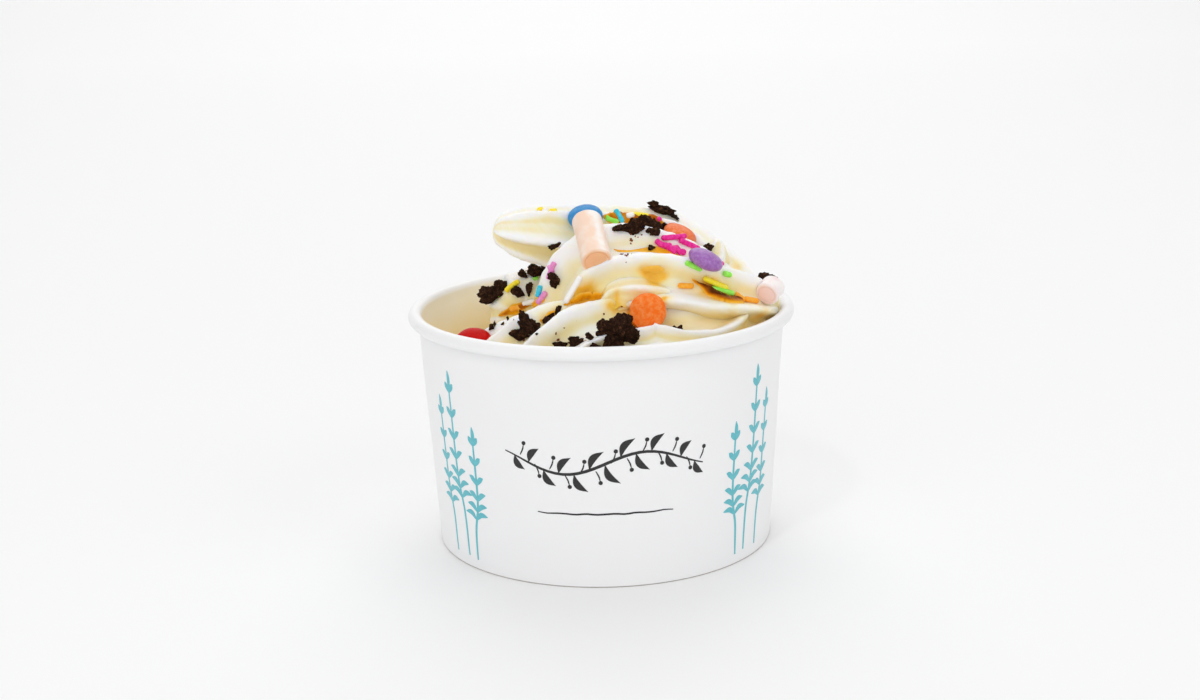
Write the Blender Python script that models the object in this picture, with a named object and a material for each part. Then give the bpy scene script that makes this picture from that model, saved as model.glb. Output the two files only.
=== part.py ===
"""Frozen yogurt in a paper cup, topped with candy, marshmallows and cookie chunks.

Sizes and places are in millimetres and become metres when a mesh is made.  The cup stands
on Z = 0 with its axis on Z, and the front of the swirl faces -Y.  Three star-shaped ropes
of soft serve make the swirl: a ring inside the rim, an arch over its front and a top rope
whose tail hangs over the left.  Every topping rests in a hollow of its own shape.
"""
import math

import bmesh
import bpy
import numpy as np
from mathutils import Matrix, Vector, noise

MM = 0.001
GAP = 0.3                # clearance between pieces that touch

# Paper cup: a conical sidewall with a rolled rim and a hem, and a recessed bottom
CUP_HEIGHT = 59.4
RIM_RADIUS = 48.0        # outside of the rolled rim
ROLL_RADIUS = 1.68       # the roll's own section
BASE_RADIUS = 42.05      # outside of the wall where it stands
NECK_RADIUS = 45.44      # outside of the wall just under the roll
PAPER = 0.6              # sidewall and hem
SKIRT_PAPER = 0.5        # the bottom's turned-down edge
HEM_HEIGHT = 6.0
HEM_FLOOR = 0.7          # folded edge under the slot that holds the skirt
BOTTOM_TOP = 7.4         # upper face of the cup's bottom
CUP_SEGMENTS = 48
ROLL_HEIGHT = CUP_HEIGHT - ROLL_RADIUS
ROLL_CENTRE = RIM_RADIUS - ROLL_RADIUS
LEAN = (NECK_RADIUS - BASE_RADIUS) / (CUP_HEIGHT - 2 * ROLL_RADIUS)

# Soft serve: each rope has the places of its centre, its ridges and the depth of its flutes
FILL_HEIGHT = 47.0       # yogurt packed level inside the cup, under the ropes
VOXEL = 0.75             # fineness at which the ropes flow into one body
YOGURT_FACES = 4200
STATIONS = 150
AROUND = 112
# Ring places: degrees from the front, distance from the axis, height, radius, turn in degrees
RING = (
    (-70, 27, 42.5, 10, 75), (-55, 29.5, 44.5, 12.8, 45), (-38, 28, 47, 14.5, 10),
    (-18, 27, 50, 15.5, -30), (0, 27, 51, 15.5, -65), (20, 29, 47.8, 15, -95), (45, 30.5, 49.2, 14.6, -71),
    (75, 31, 50.4, 14, -88), (105, 30.5, 49.8, 14, -150), (140, 30, 49, 14.5, -230),
    (175, 29, 50, 14.5, -295), (200, 26, 52.5, 14, -345), (220, 23, 54.5, 13.5, -375),
    (238, 20.5, 54, 13.3, -400), (254, 19, 53, 13, -420))
RING_RIDGES = ((-20, 1), (15, 1), (70, 1), (119, 1), (141, 0.95), (190, 1), (235, 1), (290, 1))
# Arch and top rope places: x, y, z, radius, turn in degrees
ARCH = (
    (-2, -14, 42, 12, 12), (-2, -14, 50, 13.5, 12), (-1.5, -14, 58, 14.8, 12), (2.5, -13.5, 64.8, 15.5, 8),
    (13, -13, 64.6, 14.7, -2), (24, -12, 60.3, 14, -15), (33, -9, 56.5, 12, -30), (39, -3, 54, 9.5, -36),
    (42, 3, 49, 7, -36))
ARCH_RIDGES = ((-113, 1.05), (-47, 1), (-2, 1), (50, 1), (101, 1), (152, 1), (200, 1))
TOP_ROPE = (
    (38, 3, 49, 8.5, 0), (33.5, 8, 56.5, 9.5, 0), (26.5, 12, 62.5, 10, 0), (16.5, 14, 68.6, 10.8, 0),
    (5, 12, 70.8, 10.6, 0), (-6, 9, 73, 9.5, 0), (-14, 6, 75.4, 8, 0), (-21, 4, 76.8, 6.2, 0),
    (-26.5, 3, 77.8, 3.5, 0))
TOP_RIDGES = ((8, 1), (60, 1), (110, 1), (160, 1), (210, 1), (262, 1), (332, 1))
# The small curl that the nozzle leaves where the top rope turns over
CURL = ((27.5, 8, 62, 6.5, 0), (28.5, 7, 67.5, 5, 20), (29.3, 6.5, 71, 3, 40), (29.8, 6, 73.6, 0.9, 60))
CURL_RIDGES = ((0, 1), (90, 1), (180, 1), (270, 1))
# The rounded nose in which the lowest fold of the arch ends
NOSE = (
    (16, -20.5, 64.4, 4.2, 0), (12, -22.3, 65.4, 4.6, 0), (8, -23.8, 66, 4.6, 0), (4.8, -25, 65.8, 4.4, 5),
    (2.9, -25.8, 64.8, 4, 15), (2.2, -26.2, 63.2, 3.4, 25), (2.6, -26, 61.4, 2.6, 35))
NOSE_RIDGES = ((-35, 1.05), (40, 1), (110, 1), (180, 1), (250, 1))

# Sugar-shelled candies: centre, direction of the flat face's normal, colour
CANDY_RADIUS = 4.35
CANDY_HALF = 2.1
CANDIES = {
    "candy_orange_front": ((10.9, -29.6, 63.5), (0.10, -0.96, 0.22), (0.85, 0.17, 0.03)),
    "candy_orange_top": ((20.2, 6.2, 74.9), (0.42, -0.14, 0.90), (0.85, 0.20, 0.06)),
    "candy_blue": ((-3.4, 2.6, 80.5), (-0.10, -0.45, 0.88), (0.05, 0.25, 0.55)),
    "candy_purple": ((25.0, -20.8, 73.7), (0.43, -0.06, 0.90), (0.24, 0.09, 0.36)),
    "candy_red": ((-30.5, -22.4, 55.4), (0.10, -0.30, 0.95), (0.55, 0.01, 0.01)),
}
# Mini marshmallows: one end, other end, radius, colour
MARSHMALLOWS = {
    "marshmallow_peach": ((-0.7, -25.8, 74.7), (-2.9, -12.0, 82.2), 3.65, (0.93, 0.66, 0.50)),
    "marshmallow_pink": ((42.3, -9.8, 64.9), (40.0, -13.9, 63.3), 2.9, (0.90, 0.62, 0.60)),
}
MARSHMALLOW_EDGE = 0.7   # rounding of the cut ends
# Cookie chunks: centre, half sizes, turn about the three axes in degrees, seed
CHUNKS = {
    "chunk_front": ((5.1, -39.2, 61.3), (3.6, 2.7, 3.9), (0, -14, 0), 3),
    "chunk_left": ((-27.0, 10.5, 60.3), (3.4, 2.5, 2.8), (0, 25, 0), 8),
    "chunk_left_front": ((-18.2, -27.2, 60.0), (2.5, 2.3, 4.4), (10, 38, 0), 15),
    "chunk_top": ((7.4, -10.2, 80.9), (4.2, 2.6, 1.9), (0, -16, 10), 21),
    "chunk_top_edge": ((15.1, 14.6, 80.7), (2.9, 2.2, 1.6), (0, 28, 0), 29),
    "chunk_neck": ((-15.7, 9.0, 65.9), (2.6, 1.9, 1.9), (0, 20, 0), 34),
}
CHUNK_COLOUR = (0.022, 0.010, 0.006)


def clear_scene():
    """Take every object out of the scene."""
    for item in list(bpy.data.objects):
        bpy.data.objects.remove(item, do_unlink=True)


def material(name, colour, roughness):
    """Make a Principled material of one colour."""
    made = bpy.data.materials.new(name)
    made.use_nodes = True
    shader = made.node_tree.nodes["Principled BSDF"]
    shader.inputs["Base Color"].default_value = (*colour, 1.0)
    shader.inputs["Roughness"].default_value = roughness
    return made


def add_object(name, mesh, finish=None):
    """Link a mesh to the scene as a named object."""
    made = bpy.data.objects.new(name, mesh)
    bpy.context.scene.collection.objects.link(made)
    if finish:
        mesh.materials.append(finish)
    return made


def mesh_of(name, points, faces):
    """Make a mesh from points in millimetres, with its faces pointing out."""
    mesh = bpy.data.meshes.new(name)
    mesh.from_pydata((np.asarray(points) * MM).tolist(), [], faces)
    work = bmesh.new()
    work.from_mesh(mesh)
    bmesh.ops.remove_doubles(work, verts=work.verts, dist=1e-6)
    bmesh.ops.recalc_face_normals(work, faces=work.faces)
    work.to_mesh(mesh)
    work.free()
    return mesh


def grid_faces(rows, columns, closed_rows):
    """Quads of a grid that closes along its columns, and along its rows if asked."""
    last = rows if closed_rows else rows - 1
    faces = []
    for row in range(last):
        above = (row + 1) % rows
        for column in range(columns):
            beside = (column + 1) % columns
            faces.append((row * columns + column, row * columns + beside,
                          above * columns + beside, above * columns + column))
    return faces


def turned(profile, segments, closed):
    """Turn (radius, height) points about the Z axis."""
    profile = np.asarray(profile, float)
    angle = np.arange(segments) * 2 * math.pi / segments
    radius = profile[:, 0][:, None]
    height = np.repeat(profile[:, 1][:, None], segments, axis=1)
    points = np.stack([radius * np.sin(angle), -radius * np.cos(angle), height], axis=-1)
    return points.reshape(-1, 3), grid_faces(len(profile), segments, closed)


def wall_outer(height):
    """Outer radius of the sidewall at a height."""
    return BASE_RADIUS + LEAN * height


def wall_inner(height):
    """Inner radius of the sidewall at a height."""
    return wall_outer(height) - PAPER


def arc(radius, start, end, steps):
    """Points round the roll's centre, angles in degrees from the outward horizontal."""
    angles = np.radians(np.linspace(start, end, steps))
    return [(ROLL_CENTRE + radius * math.cos(a), ROLL_HEIGHT + radius * math.sin(a)) for a in angles]


def cup_wall():
    """Sidewall, rolled rim and inward hem, turned as one closed section."""
    slot = 2 * GAP + SKIRT_PAPER
    hem_foot = wall_inner(0) - slot
    hem_lean = LEAN * HEM_HEIGHT
    profile = [(BASE_RADIUS, 0)]
    profile += arc(ROLL_RADIUS - PAPER, 220, -104, 7)
    profile += arc(ROLL_RADIUS, -104, 180, 9)
    profile += [
        (wall_inner(HEM_FLOOR), HEM_FLOOR),
        (hem_foot, HEM_FLOOR),
        (hem_foot + hem_lean, HEM_HEIGHT),
        (hem_foot + hem_lean - PAPER, HEM_HEIGHT),
        (hem_foot - PAPER, 0),
    ]
    points, faces = turned(profile, CUP_SEGMENTS, True)
    mesh = mesh_of("cup_wall", points, faces)
    mesh.shade_smooth()
    mesh.set_sharp_from_angle(angle=math.radians(40))
    add_object("cup_wall", mesh, material("cup_wall", (0.86, 0.87, 0.88), 0.35))


def cup_bottom():
    """Round bottom whose edge turns down into the hem's slot."""
    top_radius = wall_inner(BOTTOM_TOP) - GAP
    foot = HEM_FLOOR + GAP
    foot_radius = wall_inner(foot) - GAP
    under = BOTTOM_TOP - PAPER
    under_radius = wall_inner(under) - GAP - SKIRT_PAPER
    profile = [(0, BOTTOM_TOP), (top_radius, BOTTOM_TOP), (foot_radius, foot),
               (foot_radius - SKIRT_PAPER, foot), (under_radius, under), (0, under)]
    points, faces = turned(profile, CUP_SEGMENTS, False)
    mesh = mesh_of("cup_bottom", points, faces)
    mesh.shade_smooth()
    mesh.set_sharp_from_angle(angle=math.radians(40))
    add_object("cup_bottom", mesh, material("cup_bottom", (0.84, 0.85, 0.86), 0.45))


def smooth_path(places, count):
    """Catmull-Rom curve through rows of numbers."""
    rows = np.asarray(places, float)
    rows = np.vstack([2 * rows[0] - rows[1], rows, 2 * rows[-1] - rows[-2]])
    spans = len(rows) - 3
    along = np.linspace(0, spans, count)
    first = np.minimum(along.astype(int), spans - 1)
    part = (along - first)[:, None]
    a, b, c, d = rows[first], rows[first + 1], rows[first + 2], rows[first + 3]
    bend = 2 * a - 5 * b + 4 * c - d
    swing = 3 * b - a - 3 * c + d
    return 0.5 * (2 * b + (c - a) * part + bend * part ** 2 + swing * part ** 3)


def star_section(ridges, flute, sharpness):
    """Angles and relative radii round a rope: narrow ridges with wide hollows between them."""
    ridges = sorted(ridges)
    angle = np.array([r[0] for r in ridges] + [ridges[0][0] + 360.0])
    reach = np.array([r[1] for r in ridges] + [ridges[0][1]])
    theta = angle[0] + np.arange(AROUND) * 360.0 / AROUND
    left = np.clip(np.searchsorted(angle, theta, side="right") - 1, 0, len(ridges) - 1)
    width = angle[left + 1] - angle[left]
    part = (theta - angle[left]) / width
    level = reach[left] + (reach[left + 1] - reach[left]) * (3 * part ** 2 - 2 * part ** 3)
    depth = flute * np.minimum((width * len(ridges) / 360.0) ** 0.7, 1.6)
    return np.radians(theta), level * (1 - depth * (1 - np.abs(np.cos(math.pi * part)) ** sharpness))


def round_end(distance, radius):
    """How far a rope has opened at a distance from its blunt end, from 0 to 1."""
    part = np.clip(distance / (0.6 * radius), 0, 1)
    return np.sqrt(1 - (1 - part) ** 2)


def rope(places, ridges, measured_from, flute, sharpness=4.0):
    """Carry a star section along a path; a place is x, y, z, radius and turn."""
    rows = smooth_path(places, STATIONS)
    centre = rows[:, :3]
    along = np.gradient(centre, axis=0)
    along /= np.linalg.norm(along, axis=1)[:, None]
    start = np.asarray(measured_from, float)
    zero = start - (along @ start)[:, None] * along
    zero /= np.linalg.norm(zero, axis=1)[:, None]
    quarter = np.cross(along, zero)
    steps = np.linalg.norm(np.diff(centre, axis=0), axis=1)
    run = np.concatenate([[0.0], np.cumsum(steps)])
    opening = round_end(run, rows[0, 3]) * round_end(run[-1] - run, rows[-1, 3])
    theta, level = star_section(ridges, flute, sharpness)
    angle = theta[None, :] + np.radians(rows[:, 4])[:, None]
    radius = (rows[:, 3] * opening)[:, None] * level[None, :]
    points = (centre[:, None, :] + (radius * np.cos(angle))[..., None] * zero[:, None, :]
              + (radius * np.sin(angle))[..., None] * quarter[:, None, :])
    return points.reshape(-1, 3), grid_faces(STATIONS, AROUND, False)


def ring_places():
    """Places of the ring rope, from angles about the cup's axis."""
    places = []
    for degrees, distance, height, radius, turn in RING:
        angle = math.radians(degrees)
        places.append((distance * math.sin(angle), -distance * math.cos(angle), height, radius, turn))
    return places


def inside_cup(points):
    """Press points in until they clear the wall and the roll."""
    distance = np.linalg.norm(points[:, :2], axis=1)
    room = np.minimum(wall_inner(points[:, 2]), ROLL_CENTRE - ROLL_RADIUS) - 1.5 * GAP
    pressed = points.copy()
    pressed[:, :2] *= np.minimum(1, room / np.maximum(distance, 1e-6))[:, None]
    return pressed


def packed_fill():
    """Yogurt that fills the cup up to a little under the rim."""
    foot = BOTTOM_TOP + GAP
    profile = [(0, foot), (wall_inner(foot) - 1.5 * GAP, foot), (wall_inner(40) - 1.5 * GAP, 40),
               (36, FILL_HEIGHT - 1), (0, FILL_HEIGHT)]
    return turned(profile, CUP_SEGMENTS * 2, False)


def largest_body(mesh):
    """Keep the outer shell of a mesh and drop the pockets enclosed in it."""
    work = bmesh.new()
    work.from_mesh(mesh)
    left = set(work.verts)
    shells = []
    while left:
        shell = {left.pop()}
        edge = list(shell)
        while edge:
            vertex = edge.pop()
            for link in vertex.link_edges:
                other = link.other_vert(vertex)
                if other in left:
                    left.remove(other)
                    shell.add(other)
                    edge.append(other)
        shells.append(shell)
    keep = max(shells, key=len)
    loose = [vertex for vertex in work.verts if vertex not in keep]
    bmesh.ops.delete(work, geom=loose, context="VERTS")
    work.to_mesh(mesh)
    work.free()


def evaluated_mesh(item):
    """Mesh of an object with its modifiers applied."""
    graph = bpy.context.evaluated_depsgraph_get()
    return bpy.data.meshes.new_from_object(item.evaluated_get(graph))


def flow_together(name, solids):
    """Let closed shapes flow into one body, then spend few faces on it."""
    points = []
    faces = []
    count = 0
    for solid_points, solid_faces in solids:
        points.append(solid_points)
        faces += [tuple(corner + count for corner in face) for face in solid_faces]
        count += len(solid_points)
    rough = add_object(name, mesh_of(name, np.vstack(points), faces))
    flow = rough.modifiers.new("flow", "REMESH")
    flow.mode = "VOXEL"
    flow.voxel_size = VOXEL * MM
    ease = rough.modifiers.new("ease", "SMOOTH")
    ease.factor = 0.5
    ease.iterations = 3
    fine = evaluated_mesh(rough)
    bpy.data.objects.remove(rough)
    largest_body(fine)
    body = add_object(name, fine)
    fewer = body.modifiers.new("fewer", "DECIMATE")
    fewer.ratio = YOGURT_FACES / sum(len(face.vertices) - 2 for face in fine.polygons)
    coarse = evaluated_mesh(body)
    bpy.data.objects.remove(body)
    return coarse


def swirl_solids():
    """The packed fill and the ropes of the swirl, as points and faces."""
    up = (0, 0, 1)
    front = (0, -1, 0)
    ropes = (
        rope(ring_places(), RING_RIDGES, up, 0.27),
        rope(ARCH, ARCH_RIDGES, front, 0.33),
        rope(TOP_ROPE, TOP_RIDGES, up, 0.22),
        rope(CURL, CURL_RIDGES, front, 0.2),
        rope(NOSE, NOSE_RIDGES, front, 0.24),
    )
    return [packed_fill()] + [(inside_cup(points), faces) for points, faces in ropes]


def yogurt(toppings):
    """Swirl with a hollow under each topping that is pressed into it."""
    finish = material("yogurt", (0.88, 0.83, 0.72), 0.4)
    body = add_object("yogurt", flow_together("yogurt", swirl_solids()), finish)
    body.data.shade_smooth()
    for name, mesh in toppings.items():
        cutter = add_object("hollow_" + name, mesh)
        cutter.hide_render = True
        cutter.display_type = "WIRE"
        cut = body.modifiers.new(name, "BOOLEAN")
        cut.operation = "DIFFERENCE"
        cut.solver = "EXACT"
        cut.object = cutter


def facing(direction):
    """Rotation that turns +Z to a direction."""
    return Vector(direction).to_track_quat("Z", "Y").to_matrix().to_4x4()


def placed(mesh, turn, centre):
    """Turn a mesh about the origin and carry it to a place in millimetres."""
    mesh.transform(Matrix.Translation(Vector(centre) * MM) @ turn)
    return mesh


def candy_mesh(name, place, extra):
    """Lens with a full round edge: a flattened superellipse, turned."""
    centre, normal, _ = place
    radius = CANDY_RADIUS + extra
    half = CANDY_HALF + extra
    angles = np.linspace(90, -90, 8)
    profile = [(radius * math.cos(math.radians(a)) ** 0.85,
                half * math.copysign(abs(math.sin(math.radians(a))) ** 0.95, a)) for a in angles]
    profile[0] = (0, half)
    profile[-1] = (0, -half)
    points, faces = turned(profile, 18, False)
    return placed(mesh_of(name, points, faces), facing(normal), centre)


def marshmallow_mesh(name, place, extra):
    """Short cylinder with rounded ends, slightly waisted."""
    start, end, radius, _ = place
    axis = Vector(end) - Vector(start)
    half = axis.length / 2 + extra
    middle = (Vector(start) + Vector(end)) / 2
    wide = radius + extra
    profile = [(0, half), (wide - MARSHMALLOW_EDGE, half), (wide, half - MARSHMALLOW_EDGE), (wide - 0.12, 0),
               (wide, MARSHMALLOW_EDGE - half), (wide - MARSHMALLOW_EDGE, -half), (0, -half)]
    points, faces = turned(profile, 18, False)
    return placed(mesh_of(name, points, faces), facing(axis), middle)


def chunk_mesh(name, place, extra):
    """Broken lump: a ball of faces, pushed in and out by noise."""
    centre, half_sizes, turns, seed = place
    work = bmesh.new()
    bmesh.ops.create_icosphere(work, subdivisions=2, radius=1.0)
    shift = Vector((seed * 7.3, seed * 1.9, seed * 4.1))
    for vertex in work.verts:
        lump = noise.noise(vertex.co * 1.3 + shift)
        crag = noise.noise(vertex.co * 3.1 + shift)
        reach = 1 + 0.34 * lump + 0.16 * crag
        vertex.co = Vector([(size * reach + extra) * MM * unit for size, unit in zip(half_sizes, vertex.co)])
    mesh = bpy.data.meshes.new(name)
    work.to_mesh(mesh)
    work.free()
    angles = [math.radians(value) for value in turns]
    turn = (Matrix.Rotation(angles[2], 4, "Z") @ Matrix.Rotation(angles[1], 4, "Y")
            @ Matrix.Rotation(angles[0], 4, "X"))
    return placed(mesh, turn, centre)


def toppings():
    """Make each candy, marshmallow and chunk, and return a hollow for each of them."""
    hollows = {}
    for name, place in CANDIES.items():
        mesh = candy_mesh(name, place, 0)
        mesh.shade_smooth()
        add_object(name, mesh, material(name, place[2], 0.3))
        hollows[name] = candy_mesh(name, place, GAP)
    for name, place in MARSHMALLOWS.items():
        mesh = marshmallow_mesh(name, place, 0)
        mesh.shade_smooth()
        mesh.set_sharp_from_angle(angle=math.radians(50))
        add_object(name, mesh, material(name, place[3], 0.6))
        hollows[name] = marshmallow_mesh(name, place, GAP)
    cookie = material("cookie", CHUNK_COLOUR, 0.85)
    for name, place in CHUNKS.items():
        add_object(name, chunk_mesh(name, place, 0), cookie)
        hollows[name] = chunk_mesh(name, place, GAP)
    return hollows


def main():
    """Build the cup, its toppings and the swirl that carries them."""
    clear_scene()
    cup_wall()
    cup_bottom()
    yogurt(toppings())


main()
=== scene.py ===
import enum
import logging
import math
from dataclasses import dataclass, field
from typing import ClassVar

import bpy
import numpy as np
from mathutils import Matrix, Vector


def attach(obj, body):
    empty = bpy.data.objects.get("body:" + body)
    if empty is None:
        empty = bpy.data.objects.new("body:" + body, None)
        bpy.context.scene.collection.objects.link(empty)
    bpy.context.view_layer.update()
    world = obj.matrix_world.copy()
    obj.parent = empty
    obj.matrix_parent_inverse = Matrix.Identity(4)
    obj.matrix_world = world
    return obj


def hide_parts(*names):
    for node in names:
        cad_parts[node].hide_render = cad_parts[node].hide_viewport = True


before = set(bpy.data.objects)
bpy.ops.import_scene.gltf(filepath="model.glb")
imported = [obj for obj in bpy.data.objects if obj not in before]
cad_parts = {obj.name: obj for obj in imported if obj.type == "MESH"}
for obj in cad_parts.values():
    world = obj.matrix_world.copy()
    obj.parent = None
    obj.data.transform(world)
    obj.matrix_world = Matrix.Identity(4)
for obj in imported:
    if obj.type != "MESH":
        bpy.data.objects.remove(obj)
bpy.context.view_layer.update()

Place = tuple[float, float, float]
Rows = tuple[tuple[float, ...], ...]
Array = np.ndarray
Piece = bpy.types.Object
Material = bpy.types.Material
Tree = bpy.types.NodeTree
Socket = bpy.types.NodeSocket

LOG = logging.getLogger("frozen_yogurt")
# Shapes are worked out in millimetres and become metres when a mesh is made
MM = 0.001
UP = (0.0, 0.0, 1.0)
FRONT = (0.0, -1.0, 0.0)
FLAT = np.array([1.0, 1.0, 0.0])
# Radius at which a turned section starts, just off the axis
AXIS = 0.01
# Edges that turn further than this are left crisp
FOLD_EDGE = math.radians(50)
CRUMB_EDGE = math.radians(38)
# Direction in which the eye looks at the front of the swirl, a little down
LOOK = np.array((0.0, 0.97, -0.244))
LOOK_UP = np.array((0.0, 0.244, 0.97))
LOOK_RIGHT = np.array((1.0, 0.0, 0.0))


# ---------------------------------------------------------------- colours and nodes

def linear(hex_colour: str) -> tuple[float, float, float, float]:
    """Turn an sRGB hex colour into linear numbers.

    Args:
        hex_colour: colour such as "#F4F1E8".

    Returns:
        Red, green, blue and alpha, where each channel c is c / 12.92 up to 0.04045
        and ((c + 0.055) / 1.055) to the power 2.4 above it.
    """
    channels = [int(hex_colour[i:i + 2], 16) / 255 for i in (1, 3, 5)]
    made = [c / 12.92 if c <= 0.04045 else ((c + 0.055) / 1.055) ** 2.4 for c in channels]
    return made[0], made[1], made[2], 1.0


def add_node(tree: Tree, kind: str, settings: dict | None = None,
             links: dict | None = None) -> bpy.types.Node:
    """Add a node to a tree, with its settings and the links into it.

    Args:
        tree: the material's node tree.
        kind: Blender's name of the node type.
        settings: socket defaults by socket name or number, properties by name, and "stops",
            the (place, colour) pairs of a colour ramp.
        links: output sockets by the name or number of the input that each goes into.

    Returns:
        The new node.
    """
    node = tree.nodes.new(kind)
    for key, value in (settings or {}).items():
        if key == "stops":
            ramp = node.color_ramp
            while len(ramp.elements) < len(value):
                ramp.elements.new(0.5)
            for element, (place, colour) in zip(ramp.elements, value):
                element.position = place
                element.color = colour
        elif isinstance(key, int) or key in node.inputs:
            node.inputs[key].default_value = value
        else:
            setattr(node, key, value)
    for key, socket in (links or {}).items():
        tree.links.new(socket, node.inputs[key])
    return node


def stops(places: tuple[float, ...], *colours: str) -> list[tuple[float, tuple]]:
    """Pair places on a colour ramp with hex colours."""
    return [(place, linear(colour)) for place, colour in zip(places, colours)]


@dataclass(frozen=True)
class Grain:
    """Noise on a surface, by its real size.

    Its largest clouds in mm, how many finer layers, and their weight; as relief also its
    depth in mm and the share of it that is used.
    """

    size: float
    detail: float = 3.0
    weight: float = 0.5
    depth: float = 0.0
    share: float = 1.0

    def sockets(self) -> dict[str, float]:
        """Give the settings of a noise texture on coordinates in metres."""
        return {"Scale": 1000.0 / self.size, "Detail": self.detail, "Roughness": self.weight}


@dataclass(frozen=True)
class Finish:
    """A material of one real substance; a subclass gives its shader, colour and relief."""

    name: str
    # The Principled shader's settings, and the grain that roughens the surface
    shader: ClassVar[dict] = {}
    relief: ClassVar[Grain | None] = None

    def sockets(self) -> dict:
        """Give the Principled shader's settings."""
        return self.shader

    def colour(self, tree: Tree, place: Socket) -> Socket | None:
        """Lay the nodes of a colour that varies over the surface.

        Args:
            tree: the material's node tree.
            place: the object's own coordinates, in metres.

        Returns:
            The colour, or None where it is one of the shader's settings.
        """
        return None

    def build(self) -> Material:
        """Set the shader, and lay the colour and the relief into it.

        Returns:
            The material.
        """
        made = bpy.data.materials.new(self.name)
        made.use_nodes = True
        tree = made.node_tree
        shader = tree.nodes["Principled BSDF"]
        for key, value in self.sockets().items():
            shader.inputs[key].default_value = value
        place = add_node(tree, "ShaderNodeTexCoord").outputs["Object"]
        tint = self.colour(tree, place)
        if tint:
            tree.links.new(tint, shader.inputs["Base Color"])
        if self.relief:
            noise = add_node(tree, "ShaderNodeTexNoise", self.relief.sockets(), {"Vector": place})
            bump = add_node(tree, "ShaderNodeBump",
                            {"Strength": self.relief.share, "Distance": self.relief.depth * MM},
                            {"Height": noise.outputs[0]})
            tree.links.new(bump.outputs[0], shader.inputs["Normal"])
        return made


@dataclass(frozen=True)
class YogurtFinish(Finish):
    """Soft-serve frozen yogurt, extruded through a star nozzle.

    White where the ridges have frosted.  Painted shade in the hollows: creamy yellow, less
    where they face up, and a darker yellow where the surface looks down, lies low in the cup
    or meets another rope.  Amber where caramel has seeped in, and amber painted shade in the
    hollow under the arch's lip.  It gives the eye a soft, half-translucent body with a damp
    sheen.
    """

    ridge: str = "#FCFCFB"
    # Colours of painted shade: in the hollows, and where the surface looks down, lies low or meets another
    # rope
    hollow: str = "#FAEBB8"
    deep: str = "#FBE2A2"
    # Round an amber spot, in it, and where it is drenched: caramel stain, and under the arch's lip amber
    # painted shade
    amber: tuple[str, ...] = ("#FCE596", "#FBC546", "#DE9210")
    clouds: ClassVar[Grain] = Grain(5.0, 4.0, 0.6)
    # Ice grain of about 0.3 mm, drawn at 0.45 mm so that it shows
    relief: ClassVar[Grain] = Grain(0.45, 2.0, 0.6, depth=0.06, share=0.5)
    # Light goes 1.8 mm in, red furthest
    shader: ClassVar[dict] = {
        "Roughness": 0.42, "IOR": 1.36, "Subsurface Weight": 0.5, "Subsurface Scale": 0.0018,
        "Subsurface Radius": (1.0, 0.8, 0.5)}

    def colour(self, tree: Tree, place: Socket) -> Socket:
        """Lay the colour.

        Args:
            tree: the material's node tree.
            place: the object's own coordinates.

        Returns:
            Ridge to hollow to the darker yellow by the surface's own "cream" and
            "deep" values, which are painted shade, and amber by its "soak" value,
            caramel stain with amber painted shade, with clouds in the first and the last.
        """
        # Painted shade by "cream" and "deep"; caramel stain and amber painted shade by "soak"
        cream, deep, soak = (
            add_node(tree, "ShaderNodeAttribute", {"attribute_name": key}).outputs["Fac"]
            for key in ("cream", "deep", "soak"))
        clouds = add_node(tree, "ShaderNodeTexNoise", self.clouds.sockets(), {"Vector": place})
        uneven = add_node(tree, "ShaderNodeMapRange",
                          {"From Min": 0.3, "From Max": 0.7, "To Min": 0.75, "To Max": 1.2},
                          {"Value": clouds.outputs[0]}).outputs[0]
        times = {"operation": "MULTIPLY", "use_clamp": True}
        # wet is the caramel stain and the amber painted shade, made uneven
        share, wet = (add_node(tree, "ShaderNodeMath", times, {0: value, 1: uneven}).outputs[0]
                      for value in (cream, soak))
        body = add_node(tree, "ShaderNodeMixRGB",
                        {"Color1": linear(self.ridge), "Color2": linear(self.hollow)},
                        {"Fac": share}).outputs[0]
        body = add_node(tree, "ShaderNodeMixRGB", {"Color2": linear(self.deep)},
                        {"Fac": deep, "Color1": body}).outputs[0]
        amber = add_node(tree, "ShaderNodeValToRGB", {"stops": stops((0.2, 0.6, 1.0), *self.amber)},
                         {"Fac": wet}).outputs[0]
        edge = add_node(tree, "ShaderNodeMath", times | {1: 1.7}, {0: wet}).outputs[0]
        return add_node(tree, "ShaderNodeMixRGB", {},
                        {"Fac": edge, "Color1": body, "Color2": amber}).outputs[0]


@dataclass(frozen=True)
class CaramelFinish(Finish):
    """Caramel sauce, poured: sugar syrup whose amber darkens with its depth, wet and glassy."""

    # A film, thin, middling and thick sauce
    ambers: tuple[str, ...] = ("#FBCB5A", "#F2A612", "#B86002", "#521E01")
    relief: ClassVar[Grain] = Grain(1.5, 1.0, depth=0.5, share=0.8)
    # Glassy, with amber in its glints
    shader: ClassVar[dict] = {"Roughness": 0.04, "IOR": 1.48, "Specular IOR Level": 0.34,
                              "Specular Tint": linear("#FFC878")}

    def colour(self, tree: Tree, place: Socket) -> Socket:
        """Lay the ambers by the surface's own "depth" value, and return the colour."""
        depth = add_node(tree, "ShaderNodeAttribute", {"attribute_name": "depth"}).outputs["Fac"]
        ramp = stops((0.08, 0.36, 0.66, 1.0), *self.ambers)
        return add_node(tree, "ShaderNodeValToRGB", {"stops": ramp}, {"Fac": depth}).outputs[0]


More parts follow.
